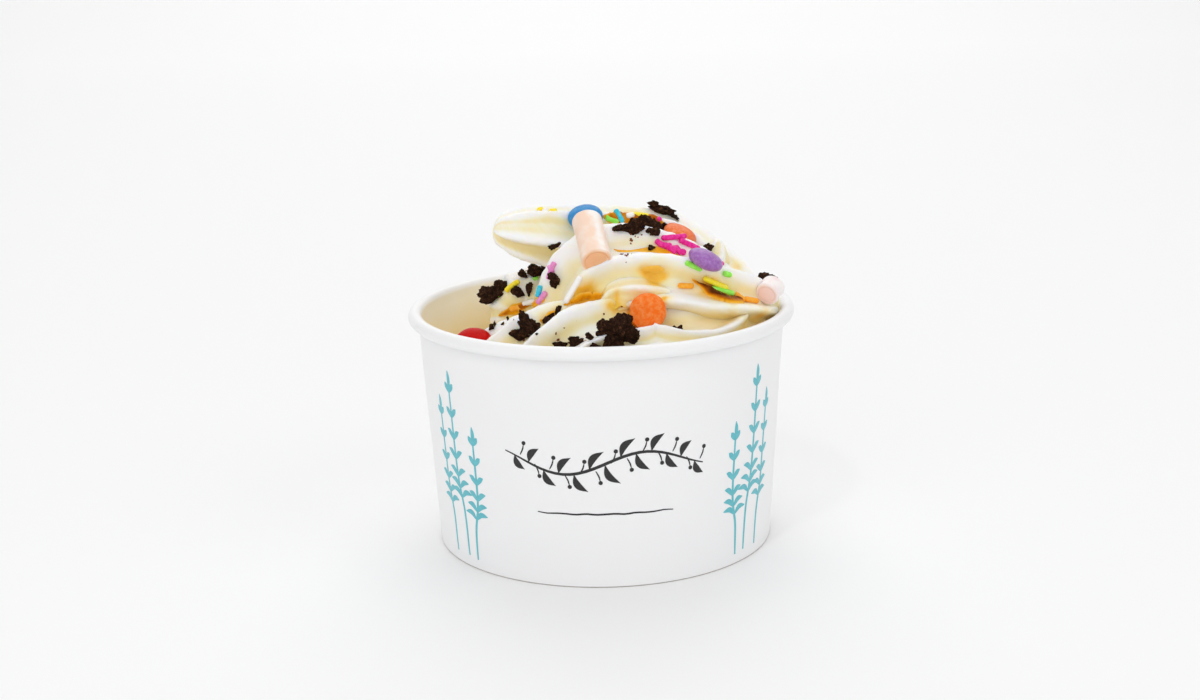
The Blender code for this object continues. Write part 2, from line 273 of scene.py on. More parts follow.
@dataclass(frozen=True)
class BoardFinish(Finish):
    """White polyethylene-coated paperboard, rolled and sealed.

    Smooth with a faint fibre grain and a soft satin shine.  The surface's own "film"
    value lays a yellowish layer of melted yogurt on the inside, with painted shade that grows
    down the wall, and its "raw" value the greyer cut edge of the board at the
    foot, with painted contact shade.
    """

    # The board, and a pale and a darker yellow for the inside layer with its painted shade
    tints: tuple[str, ...] = ("#F4F4F5", "#FFFBF0", "#FFE5A4")
    # The greyer cut edge at the foot, with painted contact shade
    edge_and_shade_grey: str = "#A39C94"
    # Board fibres are 0.05 mm wide, drawn at 0.5 mm so that they show as a faint tooth
    relief: ClassVar[Grain] = Grain(0.5, 3.0, 0.6, depth=0.02, share=0.25)
    # Paper under a thin plastic coat
    shader: ClassVar[dict] = {"Roughness": 0.36, "IOR": 1.5, "Coat Weight": 0.12,
                              "Coat Roughness": 0.2}

    def colour(self, tree: Tree, place: Socket) -> Socket:
        """Lay the colour.

        Args:
            tree: the material's node tree.
            place: the object's own coordinates; not used.

        Returns:
            The board's colour, then the inside layer's two, with painted shade, by "film",
            and the greyer cut edge, with painted contact shade, by "raw".
        """
        # Painted shade inside the cup, and painted contact shade at the foot
        film, raw = (add_node(tree, "ShaderNodeAttribute", {"attribute_name": key}).outputs["Fac"]
                     for key in ("film", "raw"))
        tint = add_node(tree, "ShaderNodeValToRGB", {"stops": stops((0.0, 0.28, 1.0), *self.tints)},
                        {"Fac": film}).outputs[0]
        return add_node(tree, "ShaderNodeMixRGB", {"Color2": linear(self.edge_and_shade_grey)},
                        {"Fac": raw, "Color1": tint}).outputs[0]


@dataclass(frozen=True)
class MarshmallowFinish(Finish):
    """Extruded mini marshmallow: whipped sugar under starch dust, soft, matt and translucent."""

    body: str
    pale: str
    cut: str
    relief: ClassVar[Grain] = Grain(0.5, 3.0, 0.6, depth=0.05, share=0.5)
    # Matt, with light 2 mm in and dust on top
    shader: ClassVar[dict] = {
        "Roughness": 0.75, "Subsurface Weight": 0.2, "Subsurface Scale": 0.002,
        "Subsurface Radius": (1.0, 0.7, 0.5), "Sheen Weight": 0.15, "Sheen Roughness": 0.5}

    def colour(self, tree: Tree, place: Socket) -> Socket:
        """Lay the colour.

        Args:
            tree: the material's node tree.
            place: the object's own coordinates; not used.

        Returns:
            The body's colour, paler by "streak" and that of the cut ends by "cut".
        """
        streak, cut = (
            add_node(tree, "ShaderNodeAttribute", {"attribute_name": key}).outputs["Fac"]
            for key in ("streak", "cut"))
        body = add_node(tree, "ShaderNodeMixRGB",
                        {"Color1": linear(self.body), "Color2": linear(self.pale)},
                        {"Fac": streak}).outputs[0]
        return add_node(tree, "ShaderNodeMixRGB", {"Color2": linear(self.cut)},
                        {"Fac": cut, "Color1": body}).outputs[0]


@dataclass(frozen=True)
class MottledFinish(Finish):
    """A substance whose colours pass into each other like clouds.

    Each colour comes in at its place among the clouds' values, which go from 0 to 1.
    """

    colours: tuple[str, ...]
    clouds: ClassVar[Grain]
    places: ClassVar[tuple[float, ...]]

    def colour(self, tree: Tree, place: Socket) -> Socket:
        """Lay clouds through a ramp of the colours, and return the colour."""
        clouds = add_node(tree, "ShaderNodeTexNoise", self.clouds.sockets(), {"Vector": place})
        return add_node(tree, "ShaderNodeValToRGB", {"stops": stops(self.places, *self.colours)},
                        {"Fac": clouds.outputs[0]}).outputs[0]


@dataclass(frozen=True)
class InkFinish(MottledFinish):
    """Offset printing ink on coated board: its cover a little uneven, the board's shine."""

    clouds: ClassVar[Grain] = Grain(1.6, 4.0, 0.7)
    places: ClassVar[tuple[float, ...]] = (0.35, 0.75)
    shader: ClassVar[dict] = {"Roughness": 0.4, "Coat Weight": 0.1}


@dataclass(frozen=True)
class ShellFinish(MottledFinish):
    """Hard-panned sugar shell of a chocolate candy, rubbed paler where the sugar shows."""

    roughness: float
    gloss: float = 0.22
    clouds: ClassVar[Grain] = Grain(1.1, 4.0, 0.65)
    places: ClassVar[tuple[float, ...]] = (0.4, 0.72)
    # Pits of about 0.4 mm from the panning drum, drawn at 0.6 mm so that they show
    relief: ClassVar[Grain] = Grain(0.6, 3.0, 0.6, depth=0.06, share=0.5)

    def sockets(self) -> dict:
        """Give the Principled shader's settings, with the shell's own shine."""
        return {"Roughness": self.roughness, "IOR": 1.4, "Specular IOR Level": self.gloss}


@dataclass(frozen=True)
class CookieFinish(MottledFinish):
    """Dark cocoa cookie, baked and broken: an open, dry crumb that drinks the light.

    Near black in its pores, brown where grains catch the light.
    """

    clouds: ClassVar[Grain] = Grain(0.8, 5.0, 0.8)
    places: ClassVar[tuple[float, ...]] = (0.38, 0.56, 0.7)
    # Grains of about 0.3 mm, drawn at 0.45 mm so that they show
    relief: ClassVar[Grain] = Grain(0.45, 4.0, 0.75, depth=0.35)
    shader: ClassVar[dict] = {"Roughness": 0.9, "Specular IOR Level": 0.12}


@dataclass(frozen=True)
class SugarRodFinish(MottledFinish):
    """Extruded sugar sprinkle with a thin glaze: clear colour, low shine, cloudy where dry."""

    clouds: ClassVar[Grain] = Grain(0.8, 3.0, 0.6)
    places: ClassVar[tuple[float, ...]] = (0.42, 0.75)
    relief: ClassVar[Grain] = Grain(0.35, 2.0, depth=0.03, share=0.5)
    shader: ClassVar[dict] = {"Roughness": 0.45, "IOR": 1.45, "Specular IOR Level": 0.35}


@dataclass(frozen=True)
class SweepFinish(Finish):
    """Matt white studio paper for the sweep under and behind the cup."""

    shader: ClassVar[dict] = {"Base Color": linear("#F7F7F7"), "Roughness": 0.9,
                              "Specular IOR Level": 0.1}


class Candy(enum.Enum):
    """Shells of the candies."""

    ORANGE = ShellFinish("sugar_shell_orange", ("#FB7214", "#FB9A52"), 0.4)
    ORANGE_PALE = ShellFinish("sugar_shell_orange_pale", ("#EE7136", "#F79A6C"), 0.42)
    # A paler, pinker copy of the orange shell, for the candy on top
    BLUE = ShellFinish("sugar_shell_blue", ("#2A84C4", "#4E9AD2"), 0.35)
    PURPLE = ShellFinish("sugar_shell_purple", ("#9A63AE", "#B48AC6"), 0.3)
    RED = ShellFinish("sugar_shell_red", ("#BC0805", "#CB150E"), 0.22, 0.06)


class Rod(enum.Enum):
    """Colours of the sugar rods."""

    GREEN = SugarRodFinish("sugar_rod_green", ("#93F24C", "#B4FA80"))
    YELLOW = SugarRodFinish("sugar_rod_yellow", ("#FFE51A", "#FFF266"))
    TURQUOISE = SugarRodFinish("sugar_rod_turquoise", ("#2CC8E8", "#6FDDEE"))
    MAGENTA = SugarRodFinish("sugar_rod_magenta", ("#E80E90", "#F850AC"))
    PINK = SugarRodFinish("sugar_rod_pink", ("#EA86CE", "#F6B2E0"))
    WHITE = SugarRodFinish("sugar_rod_white", ("#FAF7F6", "#FFFFFF"))
    ORANGE = SugarRodFinish("sugar_rod_orange", ("#FFA722", "#FFC555"))


# ---------------------------------------------------------------- shapes

class Clouds:
    """Smooth random values in space, from a seeded cubic lattice."""

    # Lattice points along each side, after which the values repeat
    cells: ClassVar[int] = 32
    # How far each finer layer is moved, so that the layers don't line up
    shift: ClassVar[float] = 17.3

    def __init__(self, seed: int) -> None:
        """Fill the lattice with values from -1 to 1.

        Args:
            seed: number that fixes the values.
        """
        self.lattice = np.random.default_rng(seed).uniform(-1, 1, (self.cells,) * 3)

    def at(self, points: Array, size: float) -> Array:
        """Read the values at points.

        Args:
            points: places, three numbers each.
            size: spacing of the lattice.

        Returns:
            At each place, the eight lattice values round it mixed by 3f^2 - 2f^3 of each
            coordinate's fraction f.
        """
        scaled = np.asarray(points, float) / size
        cell = np.floor(scaled).astype(int)
        part = scaled - cell
        part = part * part * (3 - 2 * part)
        total = np.zeros(scaled.shape[:-1])
        for corner in range(8):
            step = np.array([corner & 1, corner >> 1 & 1, corner >> 2 & 1])
            index = (cell + step) % self.cells
            weight = np.where(step == 1, part, 1 - part).prod(axis=-1)
            total += weight * self.lattice[index[..., 0], index[..., 1], index[..., 2]]
        return total

    def layers(self, points: Array, size: float, count: int, share: float = 0.5) -> Array:
        """Add finer and finer clouds.

        Args:
            points: places, three numbers each.
            size: spacing of the coarsest layer.
            count: number of layers, each half as coarse as the one before.
            share: height of a layer against the one before.

        Returns:
            The sum over the layers k of share^k times the clouds of spacing size / 2^k.
        """
        total = np.zeros(np.asarray(points).shape[:-1])
        for layer in range(count):
            moved = np.asarray(points) + self.shift * layer
            total += share ** layer * self.at(moved, size / 2 ** layer)
        return total


def smoothstep(low: float, high: float, values: Array) -> Array:
    """Rise from 0 at low to 1 at high as 3f^2 - 2f^3 of the fraction f between them."""
    part = np.clip((np.asarray(values, float) - low) / (high - low), 0, 1)
    return part * part * (3 - 2 * part)


def unit(vectors: Array) -> Array:
    """Scale vectors to length 1."""
    vectors = np.asarray(vectors, float)
    return vectors / np.maximum(np.linalg.norm(vectors, axis=-1, keepdims=True), 1e-12)


def smooth_path(places: Array, count: int) -> Array:
    """Run a Catmull-Rom curve through rows of numbers.

    Args:
        places: the rows to pass through.
        count: how many rows to give back.

    Returns:
        Rows at even steps; between rows b and c, with a before and d after them, the value
        at part p is (2b + (c-a)p + (2a-5b+4c-d)p^2 + (3b-a-3c+d)p^3) / 2.
    """
    rows = np.asarray(places, float)
    rows = np.vstack([2 * rows[0] - rows[1], rows, 2 * rows[-1] - rows[-2]])
    spans = len(rows) - 3
    along = np.linspace(0, spans, count)
    first = np.minimum(along.astype(int), spans - 1)
    part = (along - first)[:, None]
    a, b, c, d = rows[first], rows[first + 1], rows[first + 2], rows[first + 3]
    bend = 2 * a - 5 * b + 4 * c - d
    swing = 3 * b - a - 3 * c + d
    return 0.5 * (2 * b + (c - a) * part + bend * part ** 2 + swing * part ** 3)


@dataclass
class Skin:
    """Points in millimetres, their faces, and named values at the points."""

    points: Array
    quads: Array
    triangles: Array
    values: dict[str, Array] = field(default_factory=dict)

    @classmethod
    def tube(cls, grid: Array, values: dict[str, Array] | None = None, ring: bool = False) -> "Skin":
        """Close a grid of rows that each go once round, with fans at both ends.

        Args:
            grid: rows by columns by 3 points; a column follows the one before round the row.
            values: named values, rows by columns.
            ring: whether the last row joins the first, which leaves no ends.

        Returns:
            The skin, facing out; its quads join each point to the next in its row and its
            column, and each fan has its middle at the mean of the row.
        """
        rows, columns = grid.shape[:2]
        values = values or {}
        row = np.arange(rows if ring else rows - 1)[:, None]
        column = np.arange(columns)[None, :]
        after = (column + 1) % columns
        above = (row + 1) % rows
        quads = np.stack([row * columns + column, row * columns + after,
                          above * columns + after, above * columns + column], axis=-1).reshape(-1, 4)
        points = grid.reshape(-1, 3)
        flat = {key: value.reshape(-1) for key, value in values.items()}
        triangles = np.zeros((0, 3), int)
        if not ring:
            first = len(points)
            points = np.vstack([points, grid[0].mean(axis=0), grid[-1].mean(axis=0)])
            flat = {key: np.concatenate([value, [values[key][0].mean(), values[key][-1].mean()]])
                    for key, value in flat.items()}
            column = np.arange(columns)
            after = (column + 1) % columns
            last = (rows - 1) * columns
            start = np.stack([after, column, np.full(columns, first)], axis=-1)
            end = np.stack([last + column, last + after, np.full(columns, first + 1)], axis=-1)
            triangles = np.vstack([start, end])
        return cls(points, quads, triangles, flat).outward()

    @classmethod
    def plate(cls, top: Array, bottom: Array, values: dict[str, Array] | None = None) -> "Skin":
        """Close two grids of the same shape into a thin plate.

        Args:
            top: rows by columns by 3 points of the outer face.
            bottom: the same of the inner face.
            values: named values, rows by columns.

        Returns:
            The skin: rows that run once over the top and back under the bottom, with fans
            closing both ends.
        """
        grid = np.concatenate([top, bottom[:, ::-1]], axis=1)
        doubled = {key: np.concatenate([value, value[:, ::-1]], axis=1)
                   for key, value in (values or {}).items()}
        return cls.tube(grid, doubled)

    @classmethod
    def joined(cls, parts: "list[Skin]") -> "Skin":
        """Put several skins into one.

        Args:
            parts: skins with the same named values.

        Returns:
            Their points and faces one after the other.
        """
        starts = np.cumsum([0] + [len(part.points) for part in parts[:-1]])
        return cls(
            np.vstack([part.points for part in parts]),
            np.vstack([part.quads + start for part, start in zip(parts, starts)]),
            np.vstack([part.triangles + start for part, start in zip(parts, starts)]),
            {key: np.concatenate([part.values[key] for part in parts]) for key in parts[0].values},
        )

    def volume(self) -> float:
        """Add up the signed volumes of the tetrahedra from the origin to each face."""
        corners = np.vstack([self.quads[:, [0, 1, 2]], self.quads[:, [0, 2, 3]], self.triangles])
        a, b, c = (self.points[corners[:, i]] for i in range(3))
        return float(np.einsum("ij,ij->i", a, np.cross(b, c)).sum() / 6)

    def outward(self) -> "Skin":
        """Turn every face round if the faces point in, and return the skin."""
        if self.volume() < 0:
            self.quads = self.quads[:, ::-1]
            self.triangles = self.triangles[:, ::-1]
        return self

    def object(self, name: str, material: Material, smooth: bool = True) -> Piece:
        """Make the object, in metres.

        Args:
            name: the piece's name.
            material: its material.
            smooth: whether its faces are shaded smooth.

        Returns:
            The object, at the origin, with the named values as attributes of its points.
        """
        mesh = bpy.data.meshes.new(name)
        mesh.vertices.add(len(self.points))
        mesh.vertices.foreach_set("co", (self.points * MM).astype(np.float32).ravel())
        corners = np.concatenate([self.quads.ravel(), self.triangles.ravel()]).astype(np.int32)
        sizes = np.concatenate([np.full(len(self.quads), 4), np.full(len(self.triangles), 3)])
        mesh.loops.add(len(corners))
        mesh.loops.foreach_set("vertex_index", corners)
        mesh.polygons.add(len(sizes))
        starts = np.concatenate([[0], np.cumsum(sizes)[:-1]]).astype(np.int32)
        mesh.polygons.foreach_set("loop_start", starts)
        mesh.update(calc_edges=True)
        mesh.validate()
        for key, value in self.values.items():
            layer = mesh.attributes.new(key, "FLOAT", "POINT")
            layer.data.foreach_set("value", value.astype(np.float32))
        mesh.polygons.foreach_set("use_smooth", np.full(len(mesh.polygons), smooth))
        mesh.materials.append(material)
        piece = bpy.data.objects.new(name, mesh)
        bpy.context.scene.collection.objects.link(piece)
        return piece


def grid_normals(grid: Array) -> Array:
    """Work out the outward normals of a tube's grid.

    Args:
        grid: rows by columns by 3 points, closed along its columns.

    Returns:
        At each point, the unit cross product of the step along the row and the step from
        row to row, turned away from the middle of its row.
    """
    around = np.roll(grid, -1, axis=1) - np.roll(grid, 1, axis=1)
    along = np.gradient(grid, axis=0)
    normal = unit(np.cross(around, along))
    away = grid - grid.mean(axis=1, keepdims=True)
    side = np.sign(np.einsum("ijk,ijk->ij", normal, away).mean())
    return normal * (side if side else 1.0)


def turned(profile: Array, segments: int) -> Array:
    """Turn (radius, height) rows about the Z axis.

    Args:
        profile: rows of radius and height.
        segments: points round the circle.

    Returns:
        Rows by segments by 3 points: radius * (sin a, -cos a) at each height.
    """
    angle = np.arange(segments) * 2 * math.pi / segments
    profile = np.asarray(profile, float)
    radius = profile[:, 0][:, None]
    height = np.repeat(profile[:, 1][:, None], segments, axis=1)
    return np.stack([radius * np.sin(angle), -radius * np.cos(angle), height], axis=-1)


def turn_to(direction: Place) -> Array:
    """Give the rotation, as a 3 by 3 array, that turns +Z to a direction."""
    return np.array(Vector(direction).to_track_quat("Z", "Y").to_matrix())


def settle(piece: Piece, node: str | None = None) -> Piece:
    """Let a piece ride on the cup.

    Args:
        piece: the piece.
        node: the solid that it stands for, which is then hidden.

    Returns:
        The piece.
    """
    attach(piece, "root")
    if node:
        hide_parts(node)
    return piece


# ---------------------------------------------------------------- the paper cup

@dataclass
class PaperCup:
    """Paper cup, in mm: conical sidewall with a rolled rim and a hem, and a recessed bottom."""

    height: float = 59.4
    rim_radius: float = 48.0
    roll_radius: float = 1.68
    base_radius: float = 42.05
    neck_radius: float = 45.44
    paper: float = 0.6
    skirt: float = 0.5
    hem_height: float = 6.0
    hem_floor: float = 0.7
    bottom_top: float = 7.4
    clearance: float = 0.3
    # Degrees from the outward horizontal at which the rolled edge ends
    roll_end: float = -104.0
    segments: int = 256
    # The sidewall's overlap: degrees round the cup from the middle of the front, which is
    # at the back, then its width and how far it steps out
    seam_angle: float = 172.0
    seam_width: float = 8.0
    seam_step: float = 0.25
    # Rows of the section: up the outside, inside the roll, over the roll, down the inside
    section_rows: ClassVar[tuple[int, ...]] = (26, 24, 30, 30)
    # The inside layer, with its painted shade, starts this many rows before the roll meets the inside
    film_and_shade_start: ClassVar[int] = 3

    @property
    def roll_centre(self) -> float:
        """Distance of the roll's centre from the axis."""
        return self.rim_radius - self.roll_radius

    @property
    def roll_height(self) -> float:
        """Height of the roll's centre."""
        return self.height - self.roll_radius

    @property
    def lean(self) -> float:
        """Radius that the wall gains for each millimetre of height."""
        return (self.neck_radius - self.base_radius) / (self.height - 2 * self.roll_radius)

    def outer(self, height: Array | float) -> Array | float:
        """Outer radius of the wall at a height: the base radius plus the lean times it."""
        return self.base_radius + self.lean * height

    def inner(self, height: Array | float) -> Array | float:
        """Inner radius of the wall at a height."""
        return self.outer(height) - self.paper

    def arc(self, radius: float, start: float, end: float, steps: int) -> Array:
        """Points round the roll.

        Args:
            radius: distance from the roll's centre.
            start: first angle in degrees from the outward horizontal.
            end: last angle.
            steps: number of points.

        Returns:
            Rows of radius and height: the centre plus radius * (cos a, sin a).
        """
        angle = np.radians(np.linspace(start, end, steps))
        return np.stack([self.roll_centre + radius * np.cos(angle),
                         self.roll_height + radius * np.sin(angle)], axis=-1)

    def wall_profile(self) -> Array:
        """Section of the wall.

        Returns:
            Rows of radius and height: up the outside, round inside the roll and back over
            it, down the inside and round the hem.
        """
        slot = 2 * self.clearance + self.skirt
        foot = self.inner(0) - slot
        hem_lean = self.lean * self.hem_height
        # The wall starts at a cut edge that is drawn in a little, and ends inside the roll
        tuck = 0.4
        drawn_in = 0.12
        neck = self.height - 2 * self.roll_radius + tuck
        outer_rows, hidden_rows, roll_rows, inner_rows = self.section_rows
        cut_edge = [0.0, 0.16, 0.3]
        up = np.concatenate([cut_edge, np.linspace(0.5, neck, outer_rows - len(cut_edge))])
        outside = np.stack([self.outer(up), up], axis=-1)
        outside[0] = (self.base_radius - drawn_in, 0.0)
        down = np.linspace(self.roll_height - 2 * tuck, self.hem_floor, inner_rows)
        inside = np.stack([self.inner(down), down], axis=-1)
        return np.vstack([
            outside,
            self.arc(self.roll_radius - self.paper, 220, self.roll_end, hidden_rows),
            self.arc(self.roll_radius, self.roll_end, 180, roll_rows),
            inside,
            [(foot, self.hem_floor), (foot + hem_lean, self.hem_height),
             (foot + hem_lean - self.paper, self.hem_height), (foot - self.paper, 0.0)],
        ])

    def swell(self, points: Array) -> Array:
        """Work out how far the outside stands off the plain cone.

        Args:
            points: places on the cone.

        Returns:
            Millimetres: the seam's step inside the seam's width, with smooth edges and
            faded out below the rim, plus 0.1 mm of slow unevenness.
        """
        angle = np.degrees(np.arctan2(points[..., 0], -points[..., 1])) % 360
        half = math.degrees(self.seam_width / 2 / self.neck_radius)
        raised = 1 - smoothstep(half - 0.4, half + 0.4, np.abs(angle - self.seam_angle))
        below = 1 - smoothstep(self.roll_height - 6, self.roll_height - 3, points[..., 2])
        middle = smoothstep(1.0, 6.0, points[..., 2]) * (1 - smoothstep(50.0, 55.0, points[..., 2]))
        slow = Clouds(5).layers(points, 22.0, 2)
        return self.seam_step * raised * below + 0.1 * slow * middle

    def wall(self) -> Skin:
        """Sidewall with its overlap seam, its slight unevenness, and the yellowish layer with painted shade
        inside it.

        Returns:
            The turned section, swollen but for the hem.  "film" is 0 outside and on the
            rim, and from 0.3 under the rim to 1 at the yogurt on the inside: melted yogurt with
            painted shade that grows down the wall; "raw" is 1 on the cut edge at the
            foot, greyer with painted contact shade.
        """
        profile = self.wall_profile()
        grid = turned(profile, self.segments)
        radius = np.linalg.norm(grid[..., :2], axis=-1)
        hem = (grid[..., 2] < self.hem_height + 0.1) & (radius < self.inner(0))
        grow = np.where(hem, 0.0, self.swell(grid))
        row = np.arange(len(profile))
        inside = ((row >= sum(self.section_rows[:3]) - self.film_and_shade_start)
                  & (row < sum(self.section_rows)))
        ragged = 1.4 * Clouds(9).layers(grid, 9.0, 3)
        low = 1 - smoothstep(self.height - 17.0, self.height - 1.5, grid[..., 2] + ragged)
        rim = 1 - smoothstep(self.height - 2.0, self.height - 0.7, grid[..., 2])
        grid[..., :2] *= (1 + grow / radius)[..., None]
        # Painted contact shade: the cut edge at the foot is greyer
        raw = (grid[..., 2] < 0.2).astype(float)
        # Melted yogurt with painted shade, growing down the inside
        film = inside[:, None] * (0.3 + 0.7 * low) * rim
        return Skin.tube(grid, {"film": film, "raw": raw}, ring=True)

    def bottom(self) -> Skin:
        """Bottom disc whose edge turns down into the hem.

        Returns:
            The section turned about the axis and closed at its middle.
        """
        foot = self.hem_floor + self.clearance
        under = self.bottom_top - self.paper
        # The fold's rounding at the top, and its bevels at the top and below
        fold, bevel, inner_bevel = 0.6, 0.15, 0.4
        top_radius = self.inner(self.bottom_top) - self.clearance
        foot_radius = self.inner(foot) - self.clearance
        inside = self.inner(under) - self.clearance - self.skirt
        profile = [(AXIS, self.bottom_top), (top_radius - fold, self.bottom_top),
                   (top_radius - bevel, self.bottom_top - bevel),
                   (top_radius, self.bottom_top - fold),
                   (foot_radius, foot), (foot_radius - self.skirt, foot),
                   (inside, under - inner_bevel), (inside - inner_bevel, under), (AXIS, under)]
        grid = turned(profile, 128)
        plain = np.zeros(grid.shape[:2])
        return Skin.tube(grid, {"film": plain, "raw": plain})

    def build(self) -> list[Piece]:
        """Make the cup's wall and bottom, dress them and hide the solids they stand for.

        Returns:
            The two pieces.
        """
        # Coated paperboard: white, smooth and satin, with melted yogurt and painted shade inside and painted
        # contact shade at the foot
        board = BoardFinish("coated_paperboard_white").build()
        pieces = []
        for skin, node in ((self.wall(), "cup_wall"), (self.bottom(), "cup_bottom")):
            piece = skin.object(node + "_board", board)
            piece.data.set_sharp_from_angle(angle=FOLD_EDGE)
            pieces.append(settle(piece, node))
        return pieces


@dataclass
class Stroke:
    """A drawn mark: a path on the unrolled wall and its width from end to end."""

    path: tuple[tuple[float, float], ...]
    width: float
    tip: float = 0.0
    belly: float = 1.0

    def outline(self, steps: int = 28) -> tuple[Array, Array]:
        """Work out both edges of the mark.

        Args:
            steps: points along it.

        Returns:
            The edges as rows of arc and height: the path plus and minus half the width
            times its sideways direction, where the width is (tip + (1 - tip) *
            sin(pi s)^belly) of the full width at part s of the path.
        """
        line = smooth_path(np.array(self.path), steps)
        part = np.linspace(0, 1, steps)
        wide = self.tip + (1 - self.tip) * np.sin(math.pi * np.clip(part, 0.015, 0.985)) ** self.belly
        along = unit(np.gradient(line, axis=0))
        side = np.stack([-along[:, 1], along[:, 0]], axis=-1)
        reach = side * (wide * self.width / 2)[:, None]
        return line + reach, line - reach


@dataclass
class WallPrint:
    """Ink on the cup: leafy stems at both sides of the front and a penned garland between."""

    cup: PaperCup
    # How far the ink stands off the board, and how far it reaches into it
    lift: float = 0.05
    root: ClassVar[float] = 0.1
    # Marks lie in five layers this far apart, so that those which cross share no face
    step: ClassVar[float] = 0.004

    def on_wall(self, flat: Array) -> Array:
        """Wrap flat points round the wall.

        Args:
            flat: rows of arc from the front, in mm at the rim's neck, and height.

        Returns:
            Points just outside the wall: the angle is the arc over the neck radius.
        """
        angle = flat[..., 0] / self.cup.neck_radius
        aside = np.stack([np.sin(angle), -np.cos(angle)], axis=-1)
        cone = np.concatenate([self.cup.outer(flat[..., 1:]) * aside, flat[..., 1:]], axis=-1)
        cone[..., :2] += (self.cup.swell(cone) + self.lift)[..., None] * aside
        return cone

    def marks(self, strokes: list[Stroke]) -> Skin:
        """Lay strokes on the wall.

        Args:
            strokes: the marks.

        Returns:
            One skin with a thin closed plate for each mark.
        """
        plates = []
        for order, stroke in enumerate(strokes):
            left, right = stroke.outline()
            across = np.linspace(0, 1, 5)[None, :, None]
            flat = left[:, None, :] * (1 - across) + right[:, None, :] * across
            top = self.on_wall(flat)
            aside = unit(top * FLAT)
            bottom = top - aside * (self.lift + self.root)
            plates.append(Skin.plate(top + aside * self.step * (order % 5), bottom))
        return Skin.joined(plates)

    def stem(self, foot: float, top: float, low: float, high: float, sway: float,
             leaves: int, size: float) -> list[Stroke]:
        """Draw one stem with pairs of narrow leaves.

        Args:
            foot: arc of its foot.
            top: arc of its tip.
            low: height of its foot.
            high: height of its tip.
            sway: how far its middle bows sideways.
            leaves: number of leaf pairs in its upper half.
            size: length of the longest leaf.

        Returns:
            The strokes of the stem and its leaves.
        """
        middle = ((foot + top) / 2 + sway, (low + high) / 2)
        strokes = [Stroke(((foot, low), (foot + sway * 0.4, low + (high - low) * 0.25), middle,
                           (top, high)), 0.75, 0.55, 0.5)]
        line = smooth_path(np.array(strokes[0].path), 101)
        for pair in range(leaves):
            part = pair / max(leaves - 1, 1)
            start = line[int(46 + 50 * part)]
            length = size * (1 - 0.45 * part)
            for side in (-1, 1):
                reach = np.array([side * length * (0.8 - 0.25 * part), length * (0.3 + 0.5 * part)])
                droop = np.array([side * length * 0.45, length * (0.42 + 0.25 * part)])
                strokes.append(Stroke((tuple(start), tuple(start + droop * 0.75),
                                       tuple(start + reach)), 1.35, 0.06, 0.9))
        strokes.append(Stroke((tuple(line[96]), tuple(line[100] + (0.2, 0.8)),
                               tuple(line[100] + (0.0, 2.9))), 1.2, 0.05, 0.9))
        return strokes

    def sprigs(self) -> list[Stroke]:
        """Draw three stems at each side of the front, the tallest in the middle.

        Returns:
            The strokes, arcs counted from the middle of the front.
        """
        strokes = []
        for side in (-1, 1):
            strokes += self.stem(side * 41.0, side * 43.5, 3.0, 46.5, side * 1.0, 7, 5.6)
            strokes += self.stem(side * 37.5, side * 35.6, 2.6, 34.0, side * -1.0, 6, 5.2)
            strokes += self.stem(side * 46.8, side * 49.0, 2.8, 39.5, side * 0.8, 6, 4.8)
        return strokes

    def garland(self) -> list[Stroke]:
        """Draw a penned garland: a waving stem with small leaves, berries and a rule below.

        Returns:
            The strokes.
        """
        def wave(x: float) -> float:
            """Give the stem's height at an arc: 2.6 mm of sine about 31 mm."""
            return 31.0 + 2.6 * math.sin(x / 6.2)

        stem = tuple((x, wave(x)) for x in np.linspace(-25, 25, 21))
        strokes = [Stroke(stem, 0.75, 0.25, 0.6)]
        for order, x in enumerate(np.linspace(-22.5, 22.5, 13)):
            side = 1 if order % 2 else -1
            y = wave(x)
            length = 6.0 - 0.08 * abs(x)
            tip = (x + 0.62 * length, y + side * 0.8 * length)
            bow = (x + 0.16 * length, y + side * 0.5 * length)
            strokes.append(Stroke(((x, y), bow, tip), 1.7, 0.03, 1.25))
            strokes.append(Stroke(((x + 1.6, y - side * 0.2), (x + 2.3, y - side * 1.5),
                                   (x + 2.6, y - side * 2.6)), 0.35, 0.4, 0.6))
            strokes.append(Stroke(((x + 2.2, y - side * 3.1), (x + 2.7, y - side * 3.1),
                                   (x + 3.2, y - side * 3.1)), 1.0, 0.2, 0.5))
        strokes.append(Stroke(tuple((x, 18.6 + 0.12 * math.sin(x)) for x in np.linspace(-17, 17, 15)),
                              0.45, 0.3, 0.4))
        return strokes

    def build(self) -> list[Piece]:
        """Make the two inks' pieces.

        Returns:
            The teal sprigs and the black garland.
        """
        # Printing ink: flat colour with the board's own shine
        teal = InkFinish("offset_ink_teal", ("#56B7C4", "#6CC3CE")).build()
        black = InkFinish("offset_ink_black", ("#141414", "#242424")).build()
        prints = (("print_sprigs", self.sprigs(), teal), ("print_garland", self.garland(), black))
        return [settle(self.marks(strokes).object(name, ink, False))
                for name, strokes, ink in prints]


# ---------------------------------------------------------------- the frozen yogurt

